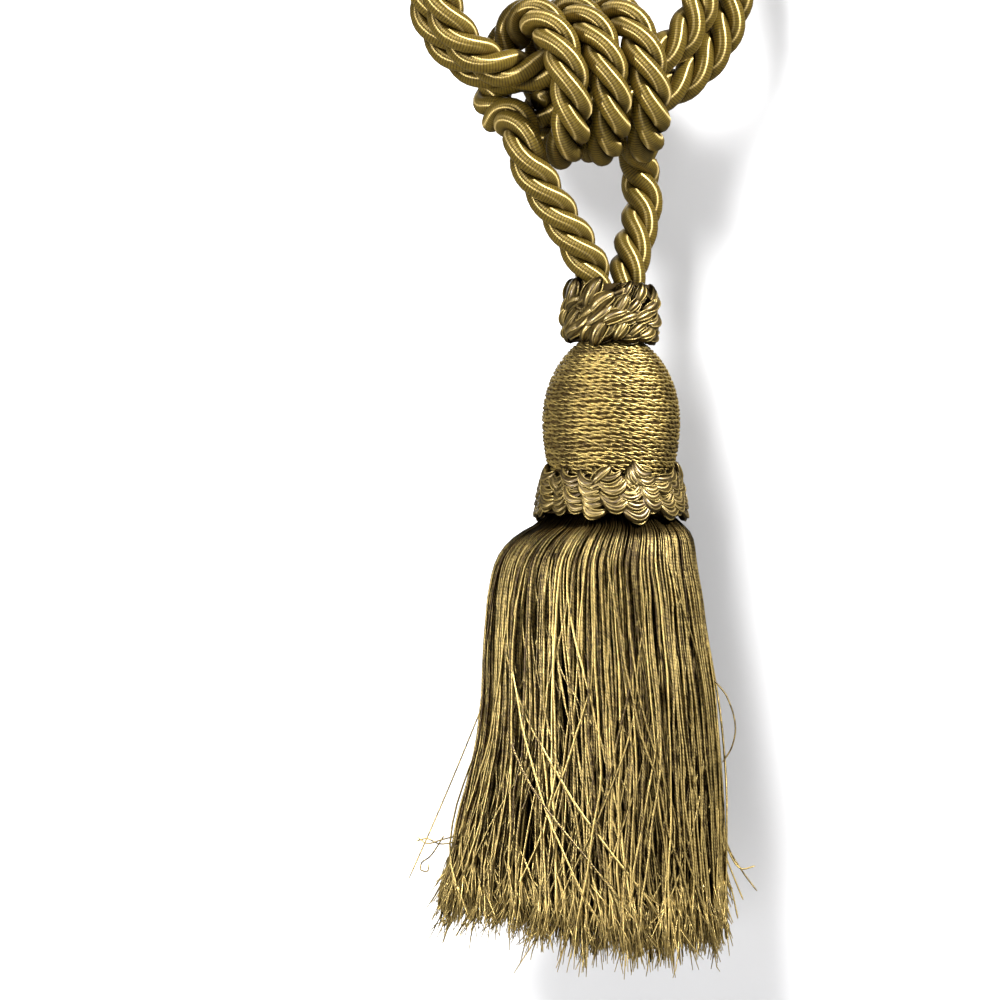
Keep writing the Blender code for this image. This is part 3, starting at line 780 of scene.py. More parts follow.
# ---- head ---------------------------------------------------------------------
@dataclass
class BoundHead:
    """The egg-shaped mould, bound round with rows of two-ply cord.

    Attributes:
        first_row: height of the uppermost row.
        last_row: height of the lowest row.
        row_pitch: spacing of the rows along the surface.
        ply_radius: radius of one ply.
        ply_offset: distance of a ply's centre from its cord's.
        beads: turns of the twist once round the widest row.
        bands: how many bands of painted shade run up the head; the lighter columns between them stand in for
            highlight bands.
    """

    widest: float = -432.5 * MM
    radius: float = 20.85 * MM
    upper_half: float = 26.4 * MM
    lower_half: float = 35.0 * MM
    first_row: float = -407.6 * MM
    last_row: float = -449.6 * MM
    row_pitch: float = 1.22 * MM
    ply_radius: float = 0.37 * MM
    ply_offset: float = 0.31 * MM
    beads: int = 23
    bands: int = 7
    steps_per_bead: int = 6

    def radius_at(self, height: np.ndarray) -> np.ndarray:
        """Return the head's outer radius at heights."""
        half = np.where(height > self.widest, self.upper_half, self.lower_half)
        return self.radius * np.sqrt(np.maximum(0.0, 1.0 - ((height - self.widest) / half) ** 2))

    def surface(self) -> tuple:
        """Return heights, radii and travelled distances down the head's side."""
        heights = np.linspace(self.first_row, self.last_row, 400)
        radii = self.radius_at(heights)
        steps = np.hypot(np.diff(heights), np.diff(radii))
        return heights, radii, np.pad(np.cumsum(steps), (1, 0))

    def binding(self) -> YarnBatch:
        """Return both plies of every row of the binding."""
        heights, radii, travelled = self.surface()
        rows = int(travelled[-1] / self.row_pitch)
        chance = np.random.default_rng(11)
        turn = np.linspace(0.0, TAU, self.beads * self.steps_per_bead + 1)
        lines, tones = [], []
        reach = self.ply_radius + self.ply_offset
        for row in range(rows):
            wave = self.row_pitch * sum(
                size * np.sin(turn * count + chance.uniform(0.0, TAU))
                for count, size in ((3, 0.12), (11, 0.15), (19, 0.10)))
            place = (row + turn / TAU) * self.row_pitch
            height = np.interp(place, travelled, heights)
            radius = np.interp(place, travelled, radii) - reach
            slope = np.arctan2(np.gradient(radius), -np.gradient(height) + 1e-12)
            share = max(0.45, radius.mean() / self.radius)
            beads = max(9, round(self.beads * min(1.0, share + 0.08)))
            twist = (beads * turn + 0.9 * np.sin(turn * 2 + chance.uniform(0.0, TAU))
                     + chance.uniform(-0.8, 0.8))
            for ply in (0.0, math.pi):
                swing = twist + ply
                out = self.ply_offset * np.cos(swing)
                down = self.ply_offset * np.sin(swing) + wave
                ring = radius + out * np.cos(slope) + down * np.sin(slope)
                lines.append(np.column_stack([
                    ring * np.cos(turn), ring * np.sin(turn),
                    height - down * np.cos(slope) + out * np.sin(slope)]))
                tones.append(chance.uniform(0.45, 1.0))
        shape = (len(lines), len(turn))
        batch = YarnBatch(np.array(lines), np.full(shape, self.ply_radius), 5, np.array(tones))
        corners = batch.rings()
        # painted shade between the rows, by how far each corner sinks below the head's surface
        sunk = self.radius_at(corners[..., 2]) - np.hypot(corners[..., 0], corners[..., 1])
        batch.painted_shade = np.interp(sunk, (0.52 * MM, 1.02 * MM), (0.0, 0.92))
        # painted shade in bands up the head; the lighter columns between them stand in for highlight bands
        turn = np.arctan2(corners[..., 0], -corners[..., 1])
        bands = 0.16 * (1.0 - np.cos(self.bands * (turn + math.radians(18.0))))
        batch.painted_shade = np.minimum(0.95, batch.painted_shade + bands)
        return batch

    def mould(self) -> bpy.types.Mesh:
        """Return the mould under the binding, spun from its profile."""
        heights = np.linspace(self.first_row + 0.6 * MM, self.last_row - 0.4 * MM, 24)
        radii = self.radius_at(heights) - 0.75 * MM
        return spun_mesh("head_mould", [(0.0, heights[0]), *zip(radii, heights), (0.0, heights[-1])], False)

    def build(self) -> None:
        """Build the mould and its binding."""
        add_piece("head_mould", self.mould(), HEAD_CORE, "head_yarn")
        add_piece("head_binding", yarn_mesh("head_binding", [self.binding()]), HEAD_YARN, "head_yarn", "head")


# ---- ruffs --------------------------------------------------------------------
GOLDEN_TURN = TAU * 0.618034


@dataclass
class LobeSpec:
    """One plump loop of a satin bundle on a ruff.

    Attributes:
        angle: place round the axis, 0 on +X.
        height: height of its middle.
        radius: distance of its back from the axis.
        length: length of the loop.
        width: half its width.
        lean: turn of its length away from level, in radians.
        curl: how far it bends like a crescent, as a share of its length.
        proud: how far its middle stands out.
        tone: its tone.
    """

    angle: float
    height: float
    radius: float
    length: float
    width: float
    lean: float
    curl: float
    proud: float
    tone: float


def lobe_lines(spec: LobeSpec, points: int, across: float, rise: float) -> np.ndarray:
    """Return one line that runs along a loop.

    Args:
        spec: the loop.
        points: points along it.
        across: place across the loop, -1 to 1 of its width.
        rise: place above its middle line, as a share of its width.

    Returns:
        The line, shaped (points, 3).
    """
    share = np.linspace(-1.0, 1.0, points)
    swell = np.sqrt(np.maximum(0.0, 1.0 - share ** 2))
    forward = 0.5 * spec.length * share
    sideways = spec.width * across * swell - spec.curl * spec.length * (1.0 - share ** 2)
    level = forward * math.cos(spec.lean) - sideways * math.sin(spec.lean)
    upward = forward * math.sin(spec.lean) + sideways * math.cos(spec.lean)
    out = spec.radius + spec.proud * swell + spec.width * rise * swell
    angle = spec.angle + level / spec.radius
    return np.column_stack([out * np.cos(angle), out * np.sin(angle), spec.height + upward])


def lobe_batches(specs: list[LobeSpec], rim: float, taper: float = 0.0, foot: float = 0.0) -> list[YarnBatch]:
    """Return the plump bodies and the edge threads of the loops; the edge threads carry painted highlights, and both
    carry painted shade.

    Args:
        specs: the loops.
        rim: the ruff's outer radius at its foot, from which the depth of the painted shade is measured.
        taper: how far the rim draws in for each metre above the foot.
        foot: height of the foot.

    Returns:
        Two batches.
    """
    points = 12
    share = np.linspace(-1.0, 1.0, points)
    swell = np.maximum(0.10, 1.0 - share ** 2) ** 0.45
    bodies = np.array([lobe_lines(spec, points, 0.0, 0.0) for spec in specs])
    widths = np.array([spec.width for spec in specs])
    tones = np.array([spec.tone for spec in specs])
    # The edge threads are thin yarns along each loop's rim; their bright tones over the darkened bodies paint
    # highlights along the rims.
    edges, rim_highlight_tones = [], []
    for spec in specs:
        for across, rise, tone in ((-0.98, 0.42, 1.0), (0.96, 0.46, 0.8), (-0.30, 0.98, spec.tone + 0.1)):
            edges.append(lobe_lines(spec, points, across, rise))
            rim_highlight_tones.append(tone)
    batches = [
        YarnBatch(bodies, 0.98 * widths[:, None] * swell[None], 10, tones * 0.60),
        YarnBatch(np.array(edges), np.full((len(edges), points), 0.27 * MM), 5, np.array(rim_highlight_tones)),
    ]
    for batch in batches:
        # painted shade, deeper the further a corner sinks below the rim
        corners = batch.rings()
        sunk = rim - taper * (corners[..., 2] - foot) - np.hypot(corners[..., 0], corners[..., 1])
        batch.painted_shade = np.interp(sunk, (0.9 * MM, 2.4 * MM), (0.0, 0.97))
    return batches


@dataclass
class NeckRuff:
    """The ruff of plump slanted loops where the legs enter the head."""

    top: float = -391.0 * MM
    bottom: float = -409.4 * MM
    radius: float = 14.6 * MM
    bore: float = 9.6 * MM
    columns: int = 16
    rows: int = 4
    under: int = 34

    def loops(self) -> list[LobeSpec]:
        """Return the loops, in uneven staggered rows, larger on the left."""
        chance = np.random.default_rng(5)
        row_height = (self.top - self.bottom) / self.rows
        specs = []
        for row in range(self.rows):
            for column in range(self.columns):
                angle = TAU * (column + 0.5 * (row % 2)) / self.columns + chance.uniform(-0.09, 0.09)
                size = 1.22 if math.cos(angle) < -0.1 else 1.0
                specs.append(LobeSpec(
                    angle=angle,
                    height=self.top - (0.4 + 0.8 * (row + 0.5)) * row_height + chance.uniform(-0.6, 0.6) * MM,
                    radius=self.radius - (3.2, 2.5, 2.4, 2.9)[row] * MM,
                    length=chance.uniform(6.8, 8.8) * size * MM,
                    width=chance.uniform(1.7, 2.15) * size * MM,
                    lean=math.radians(chance.uniform(20.0, 68.0)),
                    curl=chance.uniform(-0.14, 0.24),
                    proud=chance.uniform(0.4, 1.3) * MM,
                    tone=chance.uniform(0.40, 0.75),
                ))
        for turn in np.arange(self.under) * GOLDEN_TURN:
            specs.append(LobeSpec(
                angle=turn,
                height=chance.uniform(self.bottom + 2.0 * MM, self.top - 2.0 * MM),
                radius=self.radius - 3.6 * MM,
                length=8.5 * MM,
                width=2.2 * MM,
                lean=math.radians(chance.uniform(-30.0, 70.0)),
                curl=chance.uniform(-0.1, 0.2),
                proud=0.5 * MM,
                tone=chance.uniform(0.30, 0.60),
            ))
        return specs

    def build(self) -> None:
        """Build the ruff and the ring that carries it."""
        rim, depth = self.radius - 3.0 * MM, 0.8 * MM
        ring = [(self.bore, self.top - depth), (self.bore, self.bottom + depth),
                (rim, self.bottom + depth), (rim, self.top - depth)]
        add_piece("neck_ring", spun_mesh("neck_ring", ring, True), RUFF_CORE, "braid")
        mesh = yarn_mesh("neck_ruff", lobe_batches(self.loops(), self.radius + 0.8 * MM))
        add_piece("neck_ruff", mesh, RUFF_SATIN, "braid", "neck_braid")


@dataclass
class BaseRuff:
    """The braid of stacked crescents round the foot of the head."""

    top: float = -447.6 * MM
    bottom: float = -460.7 * MM
    radius: float = 22.6 * MM
    bore: float = 20.3 * MM
    columns: int = 23
    rows: int = 5
    under: int = 46

    def loops(self) -> list[LobeSpec]:
        """Return the loops, stacked in leaning columns."""
        chance = np.random.default_rng(9)
        row_height = (self.top - self.bottom) / self.rows
        specs = []
        for column in range(self.columns):
            lean = math.radians(chance.uniform(-26.0, 30.0))
            drop = (column % 2 - 0.5) * 0.55 * row_height + chance.uniform(-0.7, 0.7) * MM
            size = chance.uniform(0.88, 1.18)
            for row in range(self.rows):
                angle = TAU * (column + 0.10 * row) / self.columns + chance.uniform(-0.03, 0.03)
                specs.append(LobeSpec(
                    angle=angle,
                    height=self.top + drop - (0.1 + 0.84 * row) * row_height + chance.uniform(-0.3, 0.3) * MM,
                    radius=self.radius - (3.3 - 0.45 * row) * MM,
                    length=chance.uniform(7.0, 8.2) * size * MM,
                    width=chance.uniform(1.4, 1.9) * MM,
                    lean=lean + math.radians(chance.uniform(-14.0, 14.0)),
                    curl=chance.uniform(0.30, 0.48),
                    proud=chance.uniform(0.4, 1.1) * MM,
                    tone=chance.uniform(0.25, 0.60),
                ))
        for turn in np.arange(self.under) * GOLDEN_TURN:
            specs.append(LobeSpec(
                angle=turn,
                height=chance.uniform(self.bottom + 2.0 * MM, self.top - 1.5 * MM),
                radius=self.radius - 3.4 * MM,
                length=8.0 * MM,
                width=2.0 * MM,
                lean=math.radians(chance.uniform(-60.0, 60.0)),
                curl=chance.uniform(0.0, 0.3),
                proud=0.6 * MM,
                tone=chance.uniform(0.30, 0.60),
            ))
        return specs

    def build(self) -> None:
        """Build the ruff and the ring that carries it."""
        rim, depth = self.radius - 2.0 * MM, 0.6 * MM
        ring = [(self.bore, self.top - 3.0 * depth), (self.bore, self.bottom + depth),
                (rim, self.bottom + depth), (rim, self.top - 3.0 * depth)]
        add_piece("base_ring", spun_mesh("base_ring", ring, True), RUFF_CORE, "braid")
        mesh = yarn_mesh("base_ruff", lobe_batches(self.loops(), self.radius + 1.4 * MM, 0.14, self.bottom))
        add_piece("base_ruff", mesh, RUFF_SATIN, "braid", "base_braid")


# ---- skirt --------------------------------------------------------------------
@dataclass(frozen=True)
class ThreadRing:
    """One ring of the skirt's threads.

    Attributes:
        name: the piece's name.
        count: number of threads.
        inner: the ring's inner edge, as a share of the root radius.
        outer: its outer edge.
        bold: share of the threads that lean far across their neighbours.
        lift: how far threads bow outwards, as a share of the root radius.
        nodes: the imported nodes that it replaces.
    """

    name: str
    count: int
    inner: float
    outer: float
    bold: float
    lift: float
    nodes: tuple = ()


THREAD_RINGS = (
    ThreadRing("skirt_inner", 440, 0.45, 0.82, 0.15, 0.0),
    ThreadRing("skirt_middle", 500, 0.82, 0.93, 0.30, 0.01),
    ThreadRing("skirt_outer", 500, 0.92, 1.0, 0.55, 0.035, ("skirt",)),
)


# Depth, then (across, height) places of each thread that has come loose, in millimetres.
LOOSE_POINTS = 22
LOOSE_THREADS = (
    (-2.0, ((26.5, -492.0), (29.4, -507.8), (34.6, -515.0), (37.2, -524.0), (36.0, -530.5), (33.3, -534.8))),
    (-4.0, ((31.0, -540.0), (32.7, -549.2), (35.0, -561.0), (38.7, -566.4), (43.0, -565.6))),
    (-3.0, ((32.0, -548.0), (35.0, -560.0), (39.0, -567.0), (43.6, -573.2))),
    (-6.0, ((31.5, -550.0), (34.0, -562.0), (37.0, -570.0), (39.3, -575.6))),
    (-1.0, ((32.5, -556.0), (34.5, -567.0), (36.6, -575.0), (38.0, -581.6))),
    (-7.0, ((-35.0, -505.0), (-38.4, -516.8), (-43.6, -530.0), (-52.0, -550.0), (-60.6, -569.4))),
    (-9.0, ((-40.0, -546.0), (-42.4, -554.6), (-46.0, -557.6), (-51.3, -558.6), (-55.0, -557.0), (-58.5, -557.8))),
    (-9.6, ((-40.6, -547.0), (-43.0, -556.0), (-47.0, -556.4), (-51.0, -557.4), (-55.0, -558.4), (-58.0, -556.4))),
    (-12.0, ((-50.0, -556.0), (-54.0, -562.0), (-56.6, -564.0), (-56.8, -566.0), (-54.8, -566.4), (-54.6, -564.2))),
    (-16.0, ((-12.0, -490.0), (-6.0, -506.0), (2.0, -530.0), (9.0, -552.0), (13.0, -576.0))),
)


@dataclass
class ThreadSkirt:
    """The skirt of twisted threads that hangs under the base ruff.

    Attributes:
        profile: (depth, half width, centre x, left fan) rows in millimetres.
        lengths: (place across from -1 to 1, length in millimetres) rows.
        clumps: how many clumps the threads gather in.
    """

    root_height: float = -463.2 * MM
    root_radius: float = 24.4 * MM
    profile: tuple = (
        (0.0, 20.8, -0.4, 0.0),
        (1.6, 23.4, -1.0, 0.0),
        (3.6, 25.8, -2.0, 0.0),
        (6.2, 27.6, -3.1, 0.0),
        (10.0, 29.1, -4.2, 0.0),
        (14.0, 30.1, -4.6, 0.0),
        (22.0, 31.4, -4.5, 0.0),
        (36.0, 32.4, -4.2, 0.0),
        (52.0, 33.6, -3.4, 0.0),
        (66.0, 34.4, -3.0, 1.2),
        (80.0, 35.3, -2.8, 4.2),
        (96.0, 36.3, -2.7, 8.6),
        (114.0, 37.2, -2.5, 13.6),
        (132.0, 38.0, -2.4, 19.0),
    )
    flatten: float = 0.88
    length: float = 127.0 * MM
    lengths: tuple = (
        (-1.0, 110.0), (-0.75, 114.0), (-0.5, 118.0), (-0.2, 123.0), (0.5, 123.0), (0.8, 119.0), (1.0, 116.0))
    fan_start: float = 0.35
    unevenness: float = 1.8 * MM
    tuck: float = 3.2 * MM
    thread_radius: float = 0.39 * MM
    points: int = 28
    sides: int = 4
    clumps: int = 46

    def hang(self, x: np.ndarray, y: np.ndarray, depth: np.ndarray) -> np.ndarray:
        """Carry root positions down the skirt.

        Args:
            x: root places across, broadcast against depth.
            y: root places in depth.
            depth: distances below the root.

        Returns:
            Positions, with a last axis of 3.
        """
        table = np.array(self.profile) * MM
        half, centre, fan = (np.interp(depth, table[:, 0], table[:, column]) for column in (1, 2, 3))
        across, deep = x / self.root_radius, y / self.root_radius
        swing = np.maximum(0.0, -across - self.fan_start) / (1.0 - self.fan_start)
        flatten = 1.0 + (self.flatten - 1.0) * np.minimum(1.0, depth / (30.0 * MM))
        return np.stack(np.broadcast_arrays(
            centre + half * across - fan * swing ** 1.6, half * deep * flatten,
            self.root_height - depth), axis=-1)

    def threads(self, ring: ThreadRing, chance: np.random.Generator) -> tuple:
        """Lay out one ring of threads.

        Args:
            ring: the ring.
            chance: source of random numbers.

        Returns:
            Lines shaped (threads, points, 3), and each thread's share of the root radius.
        """
        count = ring.count
        share = np.linspace(0.0, 1.0, self.points)[None] ** 1.45
        turn = (TAU * (np.arange(count) + chance.uniform(-0.6, 0.6, count)) / count)[:, None]
        seat = chance.uniform(ring.inner, ring.outer, (count, 1))
        angle = turn + self.clump_pull(turn, share, chance) + self.stray(ring, share, chance)
        angle += 0.046 * ripple(share[0], chance, count, 12) * (0.3 + share)
        radial = seat * (1.0 + 0.022 * ripple(share[0], chance, count, 4))
        lift = ring.lift * np.abs(chance.normal(0.0, 1.0, (count, 1))) * np.sin(math.pi * share)
        radial = np.minimum(radial, ring.outer + 0.015) + lift
        x = self.root_radius * radial * np.cos(angle)
        y = self.root_radius * radial * np.sin(angle)
        across, lengths = np.array(self.lengths).T
        uneven = self.unevenness * ripple(turn[:, 0] / math.pi, np.random.default_rng(14), 1, 24)[0][:, None]
        length = np.interp(np.cos(turn), across, lengths * MM) + uneven
        length += chance.normal(0.0, 2.4 * MM, (count, 1))
        lines = self.hang(x, y, length * share)
        lines[:, 0, :2] *= 0.84
        lines[:, 0, 2] += self.tuck
        return lines, seat

    def clump_pull(self, turn: np.ndarray, share: np.ndarray, chance: np.random.Generator) -> np.ndarray:
        """Return how far each thread turns towards the middle of its clump, along its length."""
        clumps = np.random.default_rng(3)
        number = np.floor(turn / TAU * self.clumps).astype(int) % self.clumps
        middle = (np.arange(self.clumps) + clumps.uniform(0.2, 0.8, self.clumps))[number] * TAU / self.clumps
        waves = clumps.uniform(0.6, 1.7, self.clumps)[number]
        phase = clumps.uniform(0.0, TAU, self.clumps)[number]
        grip = 0.45 + 0.45 * np.sin(TAU * waves * share + phase)
        grip = grip * chance.uniform(0.35, 1.1, turn.shape) * np.minimum(1.0, 5.0 * share)
        gap = (middle - turn + math.pi) % TAU - math.pi
        return gap * grip

    def stray(self, ring: ThreadRing, share: np.ndarray, chance: np.random.Generator) -> np.ndarray:
        """Return how far each thread leans across its neighbours, along its length."""
        count = ring.count
        lean = chance.normal(0.0, 0.06, (count, 1))
        bold = chance.uniform(0.0, 1.0, (count, 1)) < ring.bold
        lean = np.where(bold, chance.normal(0.15, 0.85, (count, 1)), lean)
        start = chance.uniform(0.05, 0.62, (count, 1))
        return lean * np.maximum(0.0, share - start) ** 1.15

    def build(self) -> None:
        """Build the core, the rings of threads and their frayed tips."""
        chance = np.random.default_rng(21)
        taper = np.ones(self.points)
        taper[-1] = 0.55
        tips = []
        for ring in THREAD_RINGS:
            lines, seat = self.threads(ring, chance)
            radii = self.thread_radius * chance.uniform(0.82, 1.15, (ring.count, 1)) * taper[None]
            tones = np.clip(chance.normal(0.62, 0.26, ring.count), 0.05, 1.0)
            depth = self.root_height - lines[:, :, 2]
            # painted shade: a shadow under the ruff, darker threads further in and further down, and darker sides
            # that face the skirt's heart
            shadow_under_ruff = 0.92 * np.exp(-np.maximum(0.0, depth - 2.0 * MM) / (6.0 * MM))
            deep_thread_shade = 3.6 * (1.0 - seat) * (0.45 + depth / self.length)
            batch = YarnBatch(lines, radii, self.sides, tones)
            inward_side_shade = self.underside(batch) * (0.26 + 0.26 * depth / self.length)[:, :, None]
            shade = (shadow_under_ruff + deep_thread_shade)[:, :, None] + inward_side_shade
            batch.painted_shade = np.clip(shade, 0.0, 0.96)
            mesh = yarn_mesh(ring.name, [batch])
            add_piece(ring.name, mesh, SKIRT_YARN, "skirt_yarn", *ring.nodes)
            tips.append(self.tips(lines, chance))
        add_piece("skirt_tips", yarn_mesh("skirt_tips", tips), SKIRT_YARN, "skirt_yarn")
        add_piece("skirt_core", self.core(), SKIRT_CORE, "skirt_yarn")
        add_piece("loose_threads", yarn_mesh("loose_threads", [self.loose()]), SKIRT_YARN, "skirt_yarn")

    def underside(self, batch: YarnBatch) -> np.ndarray:
        """Return how far each corner of the threads faces the skirt's heart, 0 to 2; it sets painted shade on those
        sides.
        """
        lines, table = batch.lines, np.array(self.profile) * MM
        centre = np.interp(self.root_height - lines[..., 2], table[:, 0], table[:, 2])
        outward = np.stack([lines[..., 0] - centre, lines[..., 1], np.zeros_like(centre)], axis=-1)
        outward /= np.linalg.norm(outward, axis=-1, keepdims=True)
        away = batch.rings() - lines[:, :, None]
        facing = np.einsum("tpcx,tpx->tpc", away, outward) / np.linalg.norm(away, axis=-1)
        return 1.0 - facing

    def loose(self) -> YarnBatch:
        """Return the few threads that stand away from the skirt."""
        chance = np.random.default_rng(8)
        lines = []
        for depth, route in LOOSE_THREADS:
            knots = [Vector((x, depth, z)) * MM for x, z in route]
            curve = smooth_curve(knots)
            places = np.linspace(0, len(curve) - 1, LOOSE_POINTS).round().astype(int)
            lines.append([tuple(curve[place]) for place in places])
        radii = np.full((len(lines), LOOSE_POINTS), 0.24 * MM)
        radii[:, -1] = 0.12 * MM
        return YarnBatch(np.array(lines), radii, 4, chance.uniform(0.3, 0.9, len(lines)))

    def tips(self, lines: np.ndarray, chance: np.random.Generator) -> YarnBatch:
        """Return the loose fibres at the threads' ends."""
        per_thread, points = 5, 4
        share = np.linspace(0.0, 1.0, points)
        ends = np.repeat(lines[:, -2:], per_thread, axis=0)
        heading = ends[:, 1] - ends[:, 0]
        heading /= np.linalg.norm(heading, axis=1, keepdims=True)
        start = ends[:, 1] - heading * chance.uniform(4.0, 14.0, (len(ends), 1)) * MM
        spread = heading + chance.normal(0.0, 0.13, heading.shape)
        reach = chance.uniform(6.0, 12.0, (len(ends), 1)) * MM
        bend = chance.normal(0.0, 0.9 * MM, heading.shape)
        fibres = (start[:, None] + (spread * reach)[:, None] * share[None, :, None]
                  + bend[:, None] * (share ** 2)[None, :, None])
        fibres[:, :, 2] = np.maximum(fibres[:, :, 2], self.root_height - self.length - 6.0 * MM)
        radii = np.tile(np.array([0.24, 0.23, 0.20, 0.12]) * MM, (len(ends), 1))
        return YarnBatch(fibres, radii, 3, np.clip(chance.normal(0.74, 0.20, len(ends)), 0.1, 1.0))

    def core(self) -> bpy.types.Mesh:
        """Return the dark heart of the skirt, a shape of painted shade among the threads, extruded down level by
        level.
        """
        bm = bmesh.new()
        sides, levels = 40, (-0.02, 0.05, 0.25, 0.5, 0.75, 0.88)
        turn = TAU * np.arange(sides) / sides
        reach = 0.62 * self.root_radius
        verts = bmesh.ops.create_circle(bm, segments=sides, radius=1.0, cap_ends=True)["verts"]
        order = sorted(verts, key=lambda vert: math.atan2(vert.co.y, vert.co.x) % TAU)
        cap = bm.faces[:][0]
        for level in levels:
            if level != levels[0]:
                made = bmesh.ops.extrude_discrete_faces(bm, faces=[cap])["faces"]
                cap = made[0]
                order = sorted(cap.verts, key=lambda vert: round(
                    math.atan2(vert.co.y, vert.co.x - level_centre) % TAU, 4))
            places = self.hang(reach * np.cos(turn), reach * np.sin(turn), np.full(sides, level * self.length))
            level_centre = float(places[:, 0].mean())
            for vert, place in zip(order, places.tolist()):
                vert.co = place
        bmesh.ops.remove_doubles(bm, verts=bm.verts, dist=1e-7)
        bmesh.ops.recalc_face_normals(bm, faces=bm.faces)
        mesh = bpy.data.meshes.new("skirt_core")
        bm.to_mesh(mesh)
        bm.free()
        mesh.shade_smooth()
        return mesh


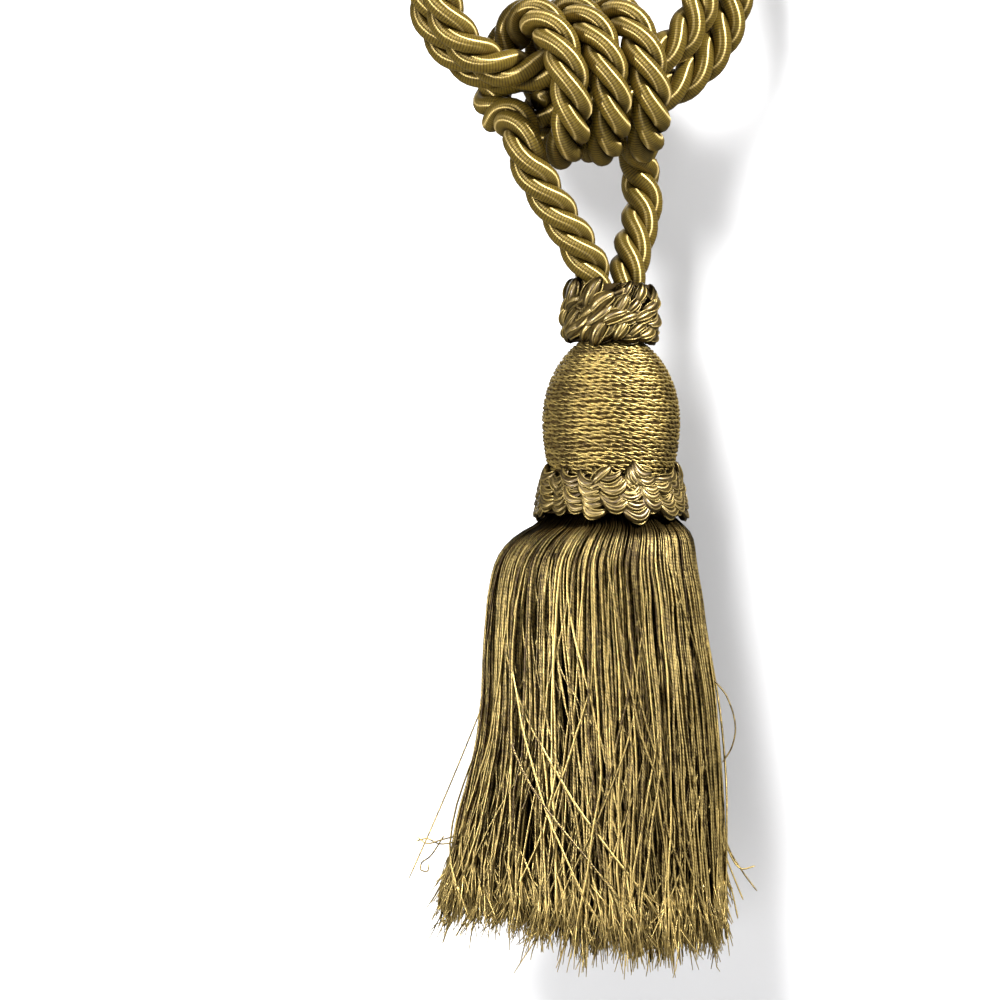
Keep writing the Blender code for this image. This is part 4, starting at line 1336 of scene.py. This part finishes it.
# ---- studio -------------------------------------------------------------------
@dataclass
class Studio:
    """The camera, the pale floor and backdrop, and the lights.

    Attributes:
        aim: the point in the middle of the picture.
        distance: distance of the camera from it.
        lens: focal length in millimetres, on a 36 mm sensor.
    """

    aim: Vector = None
    distance: float = 1.2
    lens: float = 144.0
    wall_depth: float = 0.047
    floor_height: float = -0.66

    def camera(self) -> None:
        """Place the camera level with the tassel's knot."""
        data = bpy.data.cameras.new("camera")
        data.lens = self.lens
        data.sensor_width = 36.0
        camera = bpy.data.objects.new("camera", data)
        camera.location = self.aim - Vector((0.0, self.distance, 0.0))
        camera.rotation_euler = (math.radians(90.0), 0.0, 0.0)
        bpy.context.scene.collection.objects.link(camera)
        bpy.context.scene.camera = camera

    def plane(self, name: str, corners: list, glow: float) -> bpy.types.Object:
        """Add a pale backdrop plane that is clear from behind.

        Args:
            name: its name.
            corners: its corners, anticlockwise from the front.
            glow: light that it gives off itself.

        Returns:
            The plane.
        """
        bm = bmesh.new()
        bm.faces.new([bm.verts.new(corner) for corner in corners])
        mesh = bpy.data.meshes.new(name)
        bm.to_mesh(mesh)
        bm.free()
        plane = bpy.data.objects.new(name, mesh)
        bpy.context.scene.collection.objects.link(plane)
        material = bpy.data.materials.new(name + "_paper")
        material.use_nodes = True
        tree = material.node_tree
        shader = tree.nodes["Principled BSDF"]
        shader.inputs["Base Color"].default_value = (0.56, 0.56, 0.565, 1.0)
        shader.inputs["Roughness"].default_value = 0.9
        shader.inputs["Emission Color"].default_value = (1.0, 1.0, 1.0, 1.0)
        shader.inputs["Emission Strength"].default_value = glow
        clear = add_node(tree, "ShaderNodeBsdfTransparent")
        side = add_node(tree, "ShaderNodeNewGeometry")
        mix = add_node(tree, "ShaderNodeMixShader")
        tree.links.new(side.outputs["Backfacing"], mix.inputs[0])
        tree.links.new(shader.outputs[0], mix.inputs[1])
        tree.links.new(clear.outputs[0], mix.inputs[2])
        tree.links.new(mix.outputs[0], tree.nodes["Material Output"].inputs["Surface"])
        mesh.materials.append(material)
        return plane

    def light(self, name: str, azimuth: float, elevation: float, distance: float, size: tuple,
              power: float, roll: float = 0.0) -> None:
        """Add an area light that faces the tassel.

        Args:
            name: its name.
            azimuth: degrees to the right of the camera.
            elevation: degrees above level.
            distance: distance from the tassel.
            size: width and height.
            power: watts.
            roll: degrees that its top leans to the left, seen from the tassel.
        """
        data = bpy.data.lights.new(name, "AREA")
        data.shape = "RECTANGLE"
        data.size, data.size_y = size
        data.energy = power
        light = bpy.data.objects.new(name, data)
        turn, rise = math.radians(azimuth), math.radians(elevation)
        away = Vector((math.sin(turn) * math.cos(rise), -math.cos(turn) * math.cos(rise), math.sin(rise)))
        light.location = Vector((0.0, 0.0, self.aim.z)) + away * distance
        lean = Quaternion((0.0, 0.0, 1.0), math.radians(roll))
        light.rotation_euler = (away.to_track_quat("Z", "Y") @ lean).to_euler()
        bpy.context.scene.collection.objects.link(light)

    def link_papers(self, state: str, *lights: str) -> None:
        """Let some lights shine on the backdrop and floor alone, or on all but them.

        Args:
            state: INCLUDE for the papers alone, EXCLUDE for all but the papers.
            lights: the lights' names.
        """
        papers = bpy.data.collections.new("papers_" + state.lower())
        papers.objects.link(bpy.data.objects["backdrop"])
        papers.objects.link(bpy.data.objects["floor"])
        for item in papers.collection_objects:
            item.light_linking.link_state = state
        for name in lights:
            bpy.data.objects[name].light_linking.receiver_collection = papers

    def surroundings(self) -> None:
        """Give the room a dim light and a pale look."""
        room = bpy.data.worlds.new("studio")
        room.use_nodes = True
        tree = room.node_tree
        dim = tree.nodes["Background"]
        dim.inputs["Color"].default_value = (0.90, 0.92, 0.95, 1.0)
        dim.inputs["Strength"].default_value = 0.13
        pale = add_node(tree, "ShaderNodeBackground")
        pale.inputs["Color"].default_value = (0.78, 0.79, 0.81, 1.0)
        seen = add_node(tree, "ShaderNodeLightPath")
        mix = add_node(tree, "ShaderNodeMixShader")
        tree.links.new(seen.outputs["Is Camera Ray"], mix.inputs[0])
        tree.links.new(dim.outputs[0], mix.inputs[1])
        tree.links.new(pale.outputs[0], mix.inputs[2])
        tree.links.new(mix.outputs[0], tree.nodes["World Output"].inputs["Surface"])
        bpy.context.scene.world = room

    def build(self) -> None:
        """Build the studio's stage and lights."""
        low, depth, wide, high = self.floor_height, self.wall_depth, 3.0, 3.0
        self.plane("backdrop", [(-wide, depth, low), (wide, depth, low), (wide, depth, high), (-wide, depth, high)],
                   0.20)
        self.plane("floor", [(-wide, -wide, low), (wide, -wide, low), (wide, wide, low), (-wide, wide, low)], 0.25)
        bpy.data.objects["backdrop"].visible_shadow = False
        bpy.data.objects["backdrop"].visible_glossy = False
        bpy.data.objects["floor"].visible_glossy = False
        self.light("soft_box", -26.0, 31.0, 1.3, (0.5, 0.5), 13.0)
        self.light("gleam", 50.0, 40.0, 1.3, (0.10, 0.10), 70.0)
        self.light("low_gleam", -52.0, 2.0, 1.3, (0.10, 0.10), 24.0)
        self.light("back_fill", 180.0, 25.0, 1.6, (1.0, 1.0), 10.0)
        self.light("wash", -30.0, 34.0, 1.3, (0.5, 0.5), 56.0)
        self.link_papers("EXCLUDE", "gleam", "low_gleam")
        self.link_papers("INCLUDE", "wash")
        self.surroundings()
        bpy.context.scene.view_settings.view_transform = "Standard"


def main() -> None:
    """Build the camera, the ropes, the tassel and the studio."""
    logging.basicConfig(level=logging.INFO, format="%(message)s")
    studio = Studio(aim=Vector((-33.3, 0.0, -456.2)) * MM)
    studio.camera()
    LaidRope("embrace_strands", "embrace_rope", embrace_route(), Ends.FULL).build()
    LaidRope("knot_strands", "knot_rope", knot_route(), Ends.SQUEEZED).build()
    BoundHead().build()
    NeckRuff().build()
    BaseRuff().build()
    ThreadSkirt().build()
    studio.build()


if __name__ == "__main__":
    main()
